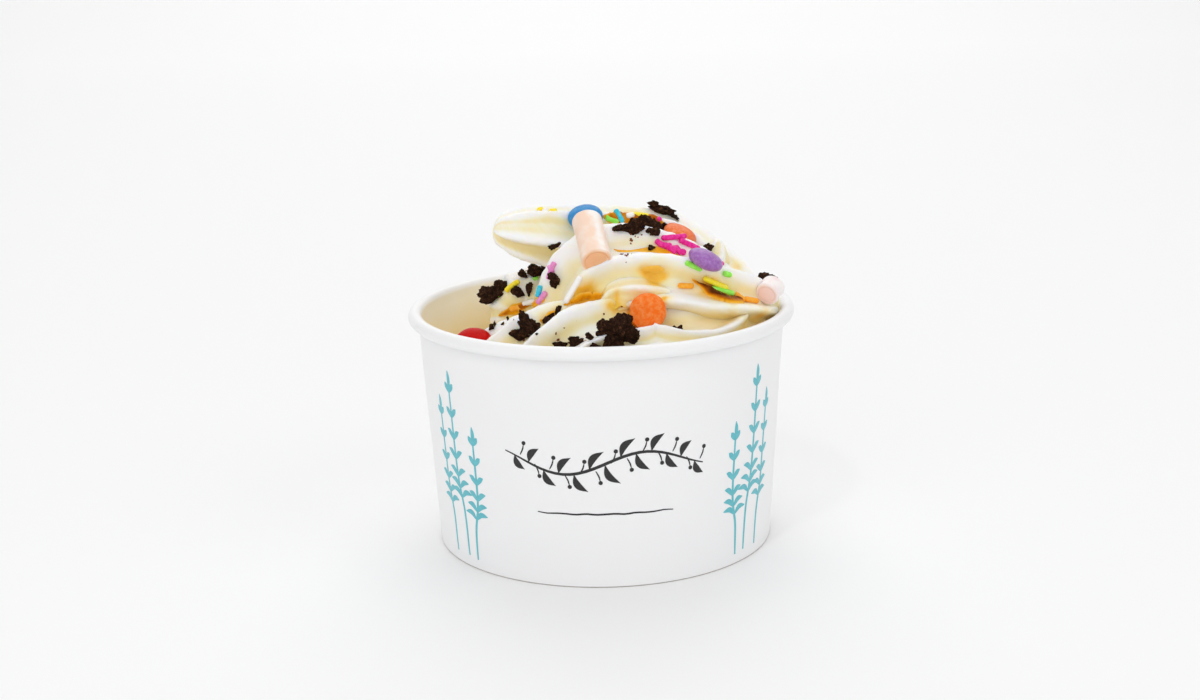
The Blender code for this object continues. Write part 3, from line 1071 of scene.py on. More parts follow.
@dataclass
class Rope:
    """One extruded rope of soft serve: a star section carried along a path.

    A place is x, y, z, radius and turn in degrees.  Ridges are an angle, measured from the
    direction "zero", and a reach of about 1.  Over the share "soft_end" of the path the
    ridges melt away.
    """

    name: str
    places: Rows
    ridges: tuple[tuple[float, float], ...]
    zero: Place
    flute: float
    rows: int
    columns: int
    seed: int
    sharpness: float = 5.4
    soft_end: float = 0.0
    # The ends round off over this share of their radius
    end_share: ClassVar[float] = 0.6

    def section(self) -> tuple[Array, Array, Array]:
        """Work out the star section.

        Returns:
            Angles in radians, the relative radius and the hollow, 0 on a ridge and 1 in the
            middle between two.  At part t between ridges the hollow is 1 - |cos(pi t)|^k and
            the radius is the reach times (1 - depth * hollow), where the flute is deeper
            between ridges that are further apart.
        """
        ridges = sorted(self.ridges)
        angle = np.array([r[0] for r in ridges] + [ridges[0][0] + 360.0])
        reach = np.array([r[1] for r in ridges] + [ridges[0][1]])
        theta = angle[0] + np.arange(self.columns) * 360.0 / self.columns
        left = np.clip(np.searchsorted(angle, theta, side="right") - 1, 0, len(ridges) - 1)
        width = angle[left + 1] - angle[left]
        part = (theta - angle[left]) / width
        level = reach[left] + (reach[left + 1] - reach[left]) * (3 * part ** 2 - 2 * part ** 3)
        depth = self.flute * np.minimum((width * len(ridges) / 360.0) ** 0.7, 1.6)
        hollow = 1 - np.abs(np.cos(math.pi * part)) ** self.sharpness
        return np.radians(theta), level * (1 - depth * hollow), hollow

    def sweep(self) -> tuple[Array, Array, Array]:
        """Carry the section along the path.

        Returns:
            The grid of points, the hollow at each and the run along the path in mm.  A
            point is the centre plus radius * (cos a * zero + sin a * quarter), where zero
            and quarter are square to the path, and the ends are rounded off.
        """
        rows = smooth_path(np.array(self.places), self.rows)
        centre = rows[:, :3]
        along = unit(np.gradient(centre, axis=0))
        start = np.asarray(self.zero, float)
        zero = unit(start - (along @ start)[:, None] * along)
        quarter = np.cross(along, zero)
        steps = np.linalg.norm(np.diff(centre, axis=0), axis=1)
        run = np.concatenate([[0.0], np.cumsum(steps)])
        first = np.clip(run / (self.end_share * rows[0, 3]), 0, 1)
        last = np.clip((run[-1] - run) / (self.end_share * rows[-1, 3]), 0, 1)
        opening = np.sqrt(1 - (1 - first) ** 2) * np.sqrt(1 - (1 - last) ** 2)
        opening = np.maximum(opening, 0.01)
        theta, level, hollow = self.section()
        full = np.array([r[1] for r in self.ridges]).mean()
        part = (run / run[-1])[:, None]
        soft = smoothstep(1 - self.soft_end, 1.0, part) if self.soft_end else np.zeros_like(part)
        level = level[None, :] + 0.75 * soft * (full - 0.35 * self.flute - level[None, :])
        angle = theta[None, :] + np.radians(rows[:, 4])[:, None]
        radius = (rows[:, 3] * opening)[:, None] * level
        grid = (centre[:, None, :] + (radius * np.cos(angle))[..., None] * zero[:, None, :]
                + (radius * np.sin(angle))[..., None] * quarter[:, None, :])
        return grid, np.broadcast_to(hollow, radius.shape), np.broadcast_to(run[:, None], radius.shape)

    def relief(self, grid: Array, hollow: Array, run: Array) -> Array:
        """Work out how far each point stands out from the plain sweep.

        Args:
            grid: the points.
            hollow: 0 on ridges to 1 in hollows.
            run: distance along the path.

        Returns:
            Millimetres: slow lumps of 0.3, fine lines drawn out along the rope of 0.07, and
            a ragged crest of 0.22 that shows on the ridges only.
        """
        clouds = Clouds(self.seed)
        lumps = 0.3 * clouds.layers(grid, 9.0, 2)
        around = np.cumsum(np.linalg.norm(np.diff(grid, axis=1, append=grid[:, :1]), axis=-1), axis=1)
        drawn = np.stack([around / 0.9, run / 14.0, np.zeros_like(run)], axis=-1)
        lines = 0.07 * clouds.at(drawn, 1.0)
        crest = (1 - hollow) ** 2
        ragged = 0.22 * crest * clouds.layers(grid, 2.2, 3, 0.6)
        return lumps + lines + ragged


@dataclass
class Swirl:
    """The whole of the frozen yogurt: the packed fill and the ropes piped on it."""

    cup: PaperCup
    fill_height: float = 47.0
    # Room between the yogurt and the board
    gap: float = 0.35
    # Where caramel has seeped in, from the top down, and, at x 31 to 43 below z 60, amber painted
    # shade in the hollow under the arch's lip: x, y, z, radius and strength
    soaked_and_shaded: ClassVar[Rows] = (
        (10.3, -22.6, 71.6, 2.4, 0.28), (12.6, -22.7, 71.4, 2.8, 0.36), (15.0, -22.6, 71.0, 2.2, 0.32),
        (12.8, -22.7, 69.0, 2.6, 0.4), (12.8, -23.6, 67.2, 2.0, 0.3), (3.2, -29.4, 66.8, 2.2, 0.7),
        (2.4, -29.0, 64.4, 1.8, 0.4), (21.6, -20.4, 69.1, 2.4, 0.3), (25.3, -20.0, 66.5, 3.0, 0.75),
        (29.5, -19.8, 64.3, 3.6, 0.85), (34.3, -17.0, 62.6, 2.6, 0.4), (-2.0, -24.2, 66.2, 3.4, 0.7),
        (-5.0, -26.5, 65.0, 2.6, 0.5), (12.9, -12.5, 74.6, 3.2, 0.35), (5.6, -27.5, 61.6, 3.2, 0.8),
        (9.0, -27.0, 60.0, 3.4, 0.75), (17.1, -28.5, 59.4, 2.8, 0.45), (14.4, -22.0, 60.5, 3.0, 0.5),
        (-13.1, -25.3, 60.7, 2.6, 0.5), (-10.0, -24.5, 62.4, 2.4, 0.45), (-9.6, -35.0, 56.8, 3.6, 0.35),
        (-16.0, -12.0, 61.6, 2.8, 0.5), (-21.5, 5.5, 56.2, 4.0, 0.55), (-12.0, 4.0, 81.3, 2.0, 0.3),
        (9.0, 9.5, 79.0, 5.0, 0.5), (40.0, -18.0, 55.0, 4.5, 0.4), (34.5, 7.0, 66.0, 2.0, 0.45),
        (7.0, -19.0, 73.0, 3.0, 0.12), (-6.6, -16.0, 70.0, 3.2, 0.3), (-4.8, -25.0, 69.2, 3.4, 0.42),
        (-10.8, -14.2, 66.0, 3.0, 0.22), (-15.0, -11.6, 63.4, 2.6, 0.35), (35.8, -22.0, 57.6, 3.0, 0.4),
        (31.0, -23.0, 58.4, 3.0, 0.25), (14.9, -27.2, 65.8, 1.5, 0.75), (-18.2, -28.1, 56.7, 3.0, 0.35),
        (39.3, -18.4, 59.0, 3.0, 0.42), (42.3, -13.0, 58.4, 2.6, 0.35),
    )

    def ring_places(self) -> Rows:
        """Places of the ring inside the rim.

        Returns:
            Rows of x, y, z, radius and turn, from an angle about the cup's axis counted
            from the front, the distance from the axis and the height.
        """
        ring = (
            (-70, 27, 42.5, 10, 75), (-55, 29.5, 44.5, 12.8, 45), (-38, 28, 47, 14.5, 10),
            (-18, 27, 50, 15.5, -30), (0, 27, 51, 15.5, -65), (20, 29, 47.8, 15, -95),
            (45, 30.5, 49.2, 14.6, -71), (75, 31, 50.4, 14, -88), (105, 30.5, 49.8, 14, -150),
            (140, 30, 49, 14.5, -230), (175, 29, 50, 14.5, -295), (200, 26, 52.5, 14, -345),
            (220, 23, 54.5, 13.5, -375), (238, 20.5, 54, 13.3, -400), (254, 19, 53, 13, -420))
        return tuple((distance * math.sin(math.radians(degrees)),
                      -distance * math.cos(math.radians(degrees)), height, radius, turn)
                     for degrees, distance, height, radius, turn in ring)

    def ropes(self) -> list[Rope]:
        """Describe the ropes.

        Returns:
            The ring, the arch over its front, the top rope, the curl it leaves and the nose
            that the arch's lowest fold ends in.
        """
        arch = (
            (-2, -14, 42, 12, 12), (-2, -14, 50, 13.5, 12), (-1.5, -14, 58, 14.8, 12),
            (2.5, -13.5, 64.8, 15.5, 8), (13, -13, 64.6, 14.7, -2), (24, -12, 60.3, 14, -15),
            (33, -9, 56.5, 12, -30), (39, -3, 54, 9.5, -36), (42, 3, 49, 7, -36))
        top = (
            (38, 3, 49, 8.5, 0), (33.5, 8, 56.5, 9.5, 0), (26.5, 12, 62.5, 10, 0),
            (16.5, 14, 68.6, 10.8, 0), (5, 12, 70.8, 10.6, 0), (-6, 9, 73, 9.5, 0),
            (-14, 6, 75.4, 8, 0), (-21, 4, 76.8, 6.2, 0), (-26.5, 3, 77.8, 3.5, 0))
        nose = (
            (16, -20.5, 64.4, 4.2, 0), (12, -22.3, 65.4, 4.6, 0), (8, -23.8, 66, 4.6, 0),
            (4.8, -25, 65.8, 4.4, 5), (2.9, -25.8, 64.8, 4, 15), (2.2, -26.2, 63.2, 3.4, 25),
            (2.6, -26, 61.4, 2.6, 35))
        curl = ((27.5, 8, 62, 6.5, 0), (28.5, 7, 67.5, 5, 20), (29.3, 6.5, 71, 3, 40),
                (29.8, 6, 73.6, 0.9, 60))
        ring_ridges = ((-20, 1), (15, 1), (70, 1), (119, 1), (141, 0.95), (190, 1), (235, 1),
                       (290, 1))
        arch_ridges = ((-113, 1.05), (-47, 1), (-2, 1), (50, 1), (101, 1), (152, 1), (200, 1))
        top_ridges = ((8, 1), (60, 1), (110, 1), (160, 1), (210, 1), (262, 1), (332, 1))
        curl_ridges = ((0, 1), (90, 1), (180, 1), (270, 1))
        nose_ridges = ((-35, 1.05), (40, 1), (110, 1), (180, 1), (250, 1))
        return [
            Rope("yogurt_ring", self.ring_places(), ring_ridges, UP, 0.27, 430, 210, 11, soft_end=0.34),
            Rope("yogurt_arch", arch, arch_ridges, FRONT, 0.33, 260, 250, 12),
            Rope("yogurt_top_rope", top, top_ridges, UP, 0.22, 260, 190, 13),
            Rope("yogurt_curl", curl, curl_ridges, FRONT, 0.2, 50, 56, 14),
            Rope("yogurt_nose", nose, nose_ridges, FRONT, 0.24, 100, 110, 15),
        ]

    def pressed_in(self, grid: Array) -> Array:
        """Keep points inside the cup.

        Args:
            grid: points of a rope.

        Returns:
            The points, with x and y scaled down where their distance from the axis would
            pass the wall's inner radius, or the roll's, less the gap.
        """
        distance = np.linalg.norm(grid[..., :2], axis=-1)
        inner = self.cup.inner(grid[..., 2])
        room = np.minimum(inner, self.cup.roll_centre - self.cup.roll_radius) - self.gap
        scale = np.minimum(1, room / np.maximum(distance, 1e-6))
        pressed = grid.copy()
        pressed[..., :2] *= scale[..., None]
        return pressed

    def crevices(self, grid: Array, name: str) -> Array:
        """Find where a rope meets the others.

        Args:
            grid: points of the rope.
            name: the rope's name.

        Returns:
            From 0 where the nearest other rope is 3 mm off to 1 where it overlaps by 1.5 mm;
            the gap is the least of |point - centre| - radius over the centres of all ropes
            but the nose and the curl.
        """
        gap = np.full(grid.shape[:2], 99.0)
        for rope in self.ropes():
            if rope.name in (name, "yogurt_nose", "yogurt_curl"):
                continue
            for row in smooth_path(np.array(rope.places), 70):
                gap = np.minimum(gap, np.linalg.norm(grid - row[:3], axis=-1) - row[3])
        return 1 - smoothstep(-1.5, 3.0, gap)

    def colours(self, grid: Array, normal: Array, hollow: Array, seed: int,
                name: str = "") -> dict[str, Array]:
        """Work out the yogurt's painted shade, and its caramel stain with amber painted shade.

        Args:
            grid: the points.
            normal: their outward normals.
            hollow: 0 on ridges to 1 in hollows.
            seed: number that fixes the unevenness.
            name: the rope they belong to.

        Returns:
            "cream", painted shade, from the hollow, less where it faces up; "deep"
            where the surface looks down, lies low in the cup or meets another rope; "soak",
            caramel stain and amber painted shade, as the sum of strength * exp(-(d/r)^2) over the
            places of soaked_and_shaded.  Clouds make all three uneven.
        """
        clouds = Clouds(seed + 50).layers(grid, 7.0, 3)
        up = smoothstep(0.1, 0.95, normal[..., 2])
        # Painted shade in the hollows, less where the surface faces up
        cream = smoothstep(0.25, 0.9, hollow + 0.2 * clouds) * (1 - 0.75 * up)
        # Painted shade low in the cup, under overhangs and where ropes meet
        low = 1 - smoothstep(49.0, 58.0, grid[..., 2] + 2 * clouds)
        under = 1 - smoothstep(-0.75, 0.15, normal[..., 2])
        joint = self.crevices(grid, name)
        deep = np.clip((0.2 * low + 0.5 * under + 0.6 * joint) * (0.25 + 0.75 * hollow), 0, 1)
        # Caramel stain, and amber painted shade under the arch's lip
        soak = np.zeros(grid.shape[:2])
        warped = grid + 1.1 * np.stack([Clouds(seed + k).at(grid, 2.6) for k in (1, 2, 3)], axis=-1)
        for x, y, z, radius, strength in self.soaked_and_shaded:
            gap = np.linalg.norm(warped - np.array((x, y, z)), axis=-1)
            soak += strength * np.exp(-(gap / radius) ** 2)
        return {"cream": cream, "deep": deep, "soak": np.clip(soak, 0, 1)}

    def fill(self) -> Skin:
        """Packed yogurt under the ropes.

        Returns:
            A section turned about the axis, gently waved on top.
        """
        foot = self.cup.bottom_top + self.cup.clearance
        profile = [(AXIS, foot), (self.cup.inner(foot) - 0.6, foot)]
        profile += [(self.cup.inner(z) - self.gap, z) for z in np.linspace(foot + 0.5, 42.0, 12)]
        profile += [(44.0, 44.5), (43.2, 45.2)]
        profile += [(r, self.fill_height - 1.6 * (r / 43.0) ** 2) for r in np.linspace(41.0, AXIS, 40)]
        grid = turned(profile, 160)
        wave = Clouds(21).layers(grid, 12.0, 3)
        top = smoothstep(44.8, 45.3, grid[..., 2])
        grid[..., 2] += 0.6 * top * wave
        normal = grid_normals(grid)
        colours = self.colours(grid, normal, np.full(grid.shape[:2], 0.8), 21)
        return Skin.tube(self.pressed_in(grid), colours)

    def build(self) -> tuple[list[Piece], "Ground"]:
        """Make the fill and the ropes.

        Returns:
            The pieces, and the ground that toppings lie on.
        """
        # Soft-serve frozen yogurt: white ridges, painted shade in the hollows and a damp sheen
        body = YogurtFinish("soft_serve_yogurt").build()
        pieces = [self.fill().object("yogurt_fill", body)]
        points, normals = [], []
        # The relief fades out over this many mm towards a rope's ends
        fade = 3.0
        for rope in self.ropes():
            grid, hollow, run = rope.sweep()
            normal = grid_normals(grid)
            ease = smoothstep(0.0, fade, run) * smoothstep(0.0, fade, run[-1:] - run)
            grid = grid + normal * (rope.relief(grid, hollow, run) * ease)[..., None]
            grid = self.pressed_in(grid)
            normal = grid_normals(grid)
            skin = Skin.tube(grid, self.colours(grid, normal, hollow, rope.seed, rope.name))
            pieces.append(skin.object(rope.name, body))
            points.append(grid.reshape(-1, 3))
            normals.append(normal.reshape(-1, 3))
        for piece in pieces:
            settle(piece, "yogurt")
        return pieces, Ground(np.vstack(points), np.vstack(normals))


@dataclass
class Ground:
    """Points and outward normals of the yogurt's skin, for toppings to lie on."""

    points: Array
    normals: Array
    # How far round the places the skin is searched, in mm, and how many places at a time
    search: ClassVar[float] = 7.0
    block: ClassVar[int] = 200

    def near(self, places: Array) -> tuple[Array, Array]:
        """Find the skin under some places.

        Args:
            places: rows of x, y and z, on or just outside the skin.

        Returns:
            The places dropped onto the plane of the nearest skin point, and its normals.
        """
        places = np.atleast_2d(np.asarray(places, float))
        low = places.min(axis=0) - self.search
        high = places.max(axis=0) + self.search
        inside = ((self.points > low) & (self.points < high)).all(axis=1)
        points = self.points[inside]
        normals = self.normals[inside]
        dropped = []
        faced = []
        for start in range(0, len(places), self.block):
            block = places[start:start + self.block]
            gaps = ((block[:, None, :] - points[None, :, :]) ** 2).sum(axis=-1)
            closest = gaps.argmin(axis=1)
            normal = normals[closest]
            height = ((block - points[closest]) * normal).sum(axis=-1, keepdims=True)
            dropped.append(block - height * normal)
            faced.append(normal)
        return np.vstack(dropped), np.vstack(faced)

    def lie(self, place: Place, heading: float) -> tuple[Array, Array, Array]:
        """Find how a small thing lies on the skin.

        Args:
            place: about where its middle is.
            heading: its direction as seen from the front, degrees up from the right.

        Returns:
            The skin point, the normal there, and the unit direction in the skin's plane
            that looks as the heading does: right cos h + up sin h + k look, where k makes
            it square to the normal.
        """
        point, normal = self.near(np.array([place]))
        point = point[0]
        normal = normal[0]
        angle = math.radians(heading)
        flat = math.cos(angle) * LOOK_RIGHT + math.sin(angle) * LOOK_UP
        facing = float(normal @ LOOK)
        facing = min(facing, -0.3) if facing < 0 else max(facing, 0.3)
        reach = np.clip(-(normal @ flat) / facing, -1.6, 1.6)
        along = flat + reach * LOOK
        along = along - (along @ normal) * normal
        return point, normal, unit(along)


# ---------------------------------------------------------------- toppings

@dataclass
class SugarCandy:
    """A sugar-shelled candy: a lens with a full round edge."""

    node: str
    centre: Place
    facing: Place
    shell: Candy
    seed: int
    radius: float = 4.35
    half: float = 2.1

    def skin(self) -> Skin:
        """Work out the lens.

        Returns:
            A profile turned about the facing: radius R cos(a)^0.85 at height H |sin(a)|^0.95,
            with 0.08 mm of slow unevenness and 0.03 mm of pitting.
        """
        angle = np.radians(np.linspace(89.5, -89.5, 60))
        profile = np.stack([self.radius * np.cos(angle) ** 0.85,
                            self.half * np.sign(angle) * np.abs(np.sin(angle)) ** 0.95], axis=-1)
        grid = turned(profile, 96)
        clouds = Clouds(self.seed)
        grow = 0.08 * clouds.layers(grid, 4.0, 2) + 0.03 * clouds.layers(grid, 0.9, 2)
        grid = grid * (1 + grow / self.radius)[..., None]
        grid = grid @ turn_to(self.facing).T + np.array(self.centre)
        return Skin.tube(grid)

    def build(self) -> Piece:
        """Make the candy in its shell's colour, and return it."""
        piece = self.skin().object(self.node + "_shell", self.shell.value.build())
        return settle(piece, self.node)


@dataclass
class MiniMarshmallow:
    """A mini marshmallow: a short soft cylinder, cut at both ends."""

    node: str
    start: Place
    end: Place
    radius: float
    finish: MarshmallowFinish
    seed: int
    edge: float = 0.8
    streak_side: Place = (0.45, -0.45, 0.75)
    # How far the side is drawn in at its middle, and how far its clouds stand out
    waist: ClassVar[float] = 0.15
    swell: ClassVar[float] = 0.12

    def skin(self) -> Skin:
        """Work out the cylinder.

        Returns:
            A profile turned about the axis, waisted by 0.15 mm, with ends that bulge by
            0.12 mm inside a rounded edge and dip by 0.1 mm at a thin ring; clouds of 0.12 mm make
            it uneven.  "streak" is a pale band along one side, "cut" the end faces.
        """
        start = np.array(self.start)
        end = np.array(self.end)
        half = np.linalg.norm(end - start) / 2
        bend = np.radians(np.linspace(0, 90, 9))
        face = np.linspace(AXIS, self.radius - self.edge, 12)
        dip = 0.1 * np.exp(-((face - self.radius * 0.72) / 0.3) ** 2)
        bulge = 0.12 * (1 - (face / (self.radius - self.edge)) ** 2) - dip
        top = np.stack([face, half - self.waist + bulge], axis=-1)
        over = half - self.edge + self.edge * np.cos(bend) - self.waist * np.cos(bend) ** 3
        corner = np.stack([self.radius - self.edge + self.edge * np.sin(bend), over], axis=-1)
        side = np.linspace(half - self.edge, self.edge - half, 34)[1:-1]
        wall = np.stack([self.radius - self.waist * (1 - (side / half) ** 2), side], axis=-1)
        mirror = np.array([1.0, -1.0])
        profile = np.vstack([top, corner, wall, corner[::-1] * mirror, top[::-1] * mirror])
        grid = turned(profile, 96)
        clouds = Clouds(self.seed)
        grow = self.swell * clouds.layers(grid, 5.0, 3)
        grid = grid * (1 + grow / self.radius)[..., None]
        aim = turn_to(tuple(end - start))
        outward = unit(grid * FLAT) @ aim.T
        wander = 0.12 * clouds.at(grid * np.array([0.2, 0.2, 1.0]), 3.0)
        axis = unit(end - start)
        side_out = np.array(self.streak_side)
        side_out = unit(side_out - (side_out @ axis) * axis)
        off = np.arccos(np.clip(outward @ side_out, -1, 1)) + wander
        streak = np.exp(-((off / 0.36) ** 2))
        height = np.abs(grid[..., 2])
        near = np.linalg.norm(grid[..., :2], axis=-1) / self.radius
        cut = smoothstep(half - 0.55, half - 0.25, height) * (1 - 0.6 * smoothstep(0.8, 0.95, near))
        streak = np.clip(streak + 0.35 * clouds.layers(grid, 1.6, 2) * (1 - cut), 0, 1)
        grid = grid @ aim.T + (start + end) / 2
        return Skin.tube(grid, {"streak": streak, "cut": cut})

    def build(self) -> Piece:
        """Make the marshmallow, and return it."""
        piece = self.skin().object(self.node + "_soft", self.finish.build())
        return settle(piece, self.node)


@dataclass
class Lobe:
    """One broken lump: its centre, half sizes, tilt in degrees seen from the front, and seed."""

    centre: Place
    halves: Place
    tilt: float
    seed: int
    # How crisply the flat breaks meet, and the furthest that a corner reaches
    crispness: ClassVar[int] = 9
    furthest: ClassVar[float] = 1.45

    def skin(self, rows: int = 84, columns: int = 112, planes: int = 11) -> Skin:
        """Work out the lump.

        Args:
            rows: rows of the grid from pole to pole.
            columns: points round each row.
            planes: flat breaks that cut the lump.

        Returns:
            In each direction d the reach is the smallest of h / (d.n) over random planes,
            softened, less bites where slow clouds are high, plus crags of fine clouds.
        """
        rng = np.random.default_rng(self.seed)
        polar = np.linspace(0.02, math.pi - 0.02, rows)[:, None]
        around = np.arange(columns)[None, :] * 2 * math.pi / columns
        direction = np.stack([np.sin(polar) * np.cos(around), np.sin(polar) * np.sin(around),
                              np.cos(polar) * np.ones_like(around)], axis=-1)
        facets = unit(rng.normal(size=(planes, 3)))
        heights = rng.uniform(0.62, 1.0, planes)
        facing = np.maximum(direction @ facets.T, 0.05)
        reach = ((facing / heights) ** self.crispness).sum(axis=-1) ** (-1 / self.crispness)
        reach = np.minimum(reach, self.furthest)
        clouds = Clouds(self.seed + 300)
        spot = direction * reach[..., None]
        bites = np.maximum(clouds.at(spot, 0.7) - 0.1, 0)
        crags = clouds.layers(spot * np.array(self.halves), 1.1, 5, 0.72)
        reach = reach * (1 - 0.5 * bites) * (1 + 0.23 * crags / np.mean(self.halves) ** 0.5)
        grid = direction * reach[..., None] * np.array(self.halves)
        tilt = math.radians(self.tilt)
        turn = np.array([[math.cos(tilt), 0, -math.sin(tilt)], [0, 1, 0],
                         [math.sin(tilt), 0, math.cos(tilt)]])
        return Skin.tube(grid @ turn.T + np.array(self.centre))


@dataclass
class CookieChunk:
    """A broken piece of cookie made of a few lumps that hold together."""

    node: str
    lobes: tuple[Lobe, ...]

    def build(self, finish: Material) -> Piece:
        """Make the chunk.

        Args:
            finish: the cookie's material.

        Returns:
            The piece.
        """
        skin = Skin.joined([lobe.skin() for lobe in self.lobes])
        piece = skin.object(self.node + "_cookie", finish)
        piece.data.set_sharp_from_angle(angle=CRUMB_EDGE)
        return settle(piece, self.node)


@dataclass
class Stick:
    """One rod: about where its middle is, its heading as seen from the front in degrees up
    from the right, its length, and its lean, from 0 where it lies flat to 1 upright."""

    place: Place
    heading: float
    length: float
    lean: float = 0.0


@dataclass
class SugarRods:
    """Sugar rods of one colour: the arguments of a Stick for each."""

    name: str
    colour: Rod
    rods: tuple[tuple, ...]
    radius: float = 0.68
    seed: int = 7
    # How far a rod's ends may bend aside, in mm, and its points along it and round it
    bow: ClassVar[float] = 0.14
    stations: ClassVar[int] = 22
    columns: ClassVar[int] = 16

    def rod(self, ground: Ground, stick: Stick, seed: int) -> Skin:
        """Work out one rod.

        Args:
            ground: what it lies on.
            stick: the rod's place and size.
            seed: number that fixes its bend.

        Returns:
            A circle carried along a slightly bent line, with short rounded ends: the radius
            is R (1 - |2s - 1|^q)^(1/3) at part s, with q twice the length over R, plus
            0.05 mm of clouds.
        """
        rng = np.random.default_rng(seed)
        point, normal, along = ground.lie(stick.place, stick.heading)
        angle = math.radians(stick.heading)
        flat = math.cos(angle) * LOOK_RIGHT + math.sin(angle) * LOOK_UP
        along = unit((1 - stick.lean) * along + stick.lean * flat)
        lift = self.radius * 0.55 + 0.42 * stick.length * abs(float(along @ normal))
        normal = unit(normal - (normal @ along) * along)
        side = np.cross(normal, along)
        part = np.linspace(0.004, 0.996, self.stations)
        swing = rng.uniform(-self.bow, self.bow) * (part - 0.5) ** 2 * 4
        line = (point + normal * lift + (part - 0.5)[:, None] * stick.length * along
                + swing[:, None] * side)
        wide = self.radius * (1 - np.abs(2 * part - 1) ** (2 * stick.length / self.radius)) ** (1 / 3)
        around = np.arange(self.columns) * 2 * math.pi / self.columns
        grid = (line[:, None, :] + (wide[:, None] * np.cos(around))[..., None] * normal
                + (wide[:, None] * np.sin(around))[..., None] * side)
        clouds = Clouds(seed)
        grid = grid + 0.05 * np.stack([clouds.at(grid + k, 0.8) for k in (0, 9, 18)], axis=-1)
        return Skin.tube(grid)

    def build(self, ground: Ground) -> Piece:
        """Make the rods.

        Args:
            ground: what they lie on.

        Returns:
            One piece with every rod of the colour.
        """
        parts = [self.rod(ground, Stick(*rod), self.seed + order)
                 for order, rod in enumerate(self.rods)]
        return settle(Skin.joined(parts).object(self.name, self.colour.value.build()))


@dataclass
class Crumbs:
    """Cookie crumbs: a place and a half size for each, and specks scattered round some."""

    crumbs: tuple[tuple[Place, float], ...]
    dusted: tuple[tuple[Place, float, int], ...]
    seed: int = 400
    # Rows, columns and flat breaks of a crumb and of a speck
    crumb_grid: ClassVar[tuple[int, int, int]] = (26, 36, 9)
    speck_grid: ClassVar[tuple[int, int, int]] = (6, 8, 6)

    def build(self, ground: Ground, finish: Material) -> list[Piece]:
        """Make the crumbs and the specks.

        Args:
            ground: what they lie on.
            finish: the cookie's material.

        Returns:
            A piece of crumbs and a piece of specks; a speck lies at a random spot within
            its patch's radius.
        """
        rng = np.random.default_rng(self.seed)
        lumps = []
        for order, (place, half) in enumerate(self.crumbs):
            point, normal = ground.near(np.array([place]))
            centre = tuple(point[0] + normal[0] * half * 0.45)
            halves = tuple(half * rng.uniform(0.75, 1.25, 3))
            lobe = Lobe(centre, halves, rng.uniform(0, 180), self.seed + order)
            lumps.append(lobe.skin(*self.crumb_grid))
        specks = []
        for place, reach, count in self.dusted:
            spread = rng.normal(size=(count, 3)) * reach * 0.5 + np.array(place)
            spots, normals = ground.near(spread)
            for order in range(count):
                half = rng.uniform(0.08, 0.19)
                lobe = Lobe(tuple(spots[order] + normals[order] * half * 0.4),
                            tuple(half * rng.uniform(0.7, 1.4, 3)), 0.0, self.seed + 90 + order)
                specks.append(lobe.skin(*self.speck_grid))
        # Cookie dust: single grains, through which the light comes redder
        dust = CookieFinish("cocoa_cookie_dust", ("#6E3318", "#8E4C28", "#A8683C")).build()
        pieces = [Skin.joined(lumps).object("cookie_crumbs", finish),
                  Skin.joined(specks).object("cookie_specks", dust)]
        pieces[0].data.set_sharp_from_angle(angle=CRUMB_EDGE)
        return [settle(piece) for piece in pieces]


@dataclass
class Drizzle:
    """A run of caramel: rows of x, y, z and half width along it, and its thickness."""

    run: tuple[tuple[float, float, float, float], ...]
    thickness: float
    seed: int
    steps: int = 60
    across: int = 17
    # How far its edge sinks in, how far its underside does, and the height at which it is
    # darkest
    sink: ClassVar[float] = 0.08
    root: ClassVar[float] = 0.35
    darkest: ClassVar[float] = 1.4

    def skin(self, ground: Ground) -> Skin:
        """Work out the run of sauce.

        Args:
            ground: what it lies on.

        Returns:
            A plate that hugs the skin: at part s along and t across, from -1 to 1, its top
            stands T (1 - t^2)^0.7 e(s) - 0.08 mm off the skin, where e rounds the ends off
            and clouds make T and the width uneven; "depth" is the height without those
            0.08 mm, over 1.4 mm.
        """
        line = smooth_path(np.array(self.run), self.steps)
        part = np.linspace(0, 1, self.steps)
        middle, normal = ground.near(line[:, :3])
        along = unit(np.gradient(middle, axis=0))
        side = unit(np.cross(normal, along))
        clouds = Clouds(self.seed)
        across = np.linspace(-1, 1, self.across)
        end = np.sqrt(np.clip(1 - np.abs(2 * part - 1) ** 5, 0, 1))
        uneven = 1 + 0.35 * clouds.at(middle, 1.7)
        wide = line[:, 3] * end * uneven
        places = middle[:, None, :] + (across[None, :] * wide[:, None])[..., None] * side[:, None, :]
        flat, faced = ground.near(places.reshape(-1, 3))
        flat = flat.reshape(places.shape)
        faced = unit(faced.reshape(places.shape))
        height = self.thickness * (1 - across[None, :] ** 2) ** 0.7 * end[:, None]
        height = height * (1 + 0.35 * clouds.layers(flat, 2.2, 2)) - self.sink
        top = flat + faced * height[..., None]
        bottom = flat - faced * self.root
        depth = np.clip((height + self.sink) / self.darkest, 0, 1)
        return Skin.plate(top, bottom, {"depth": depth})


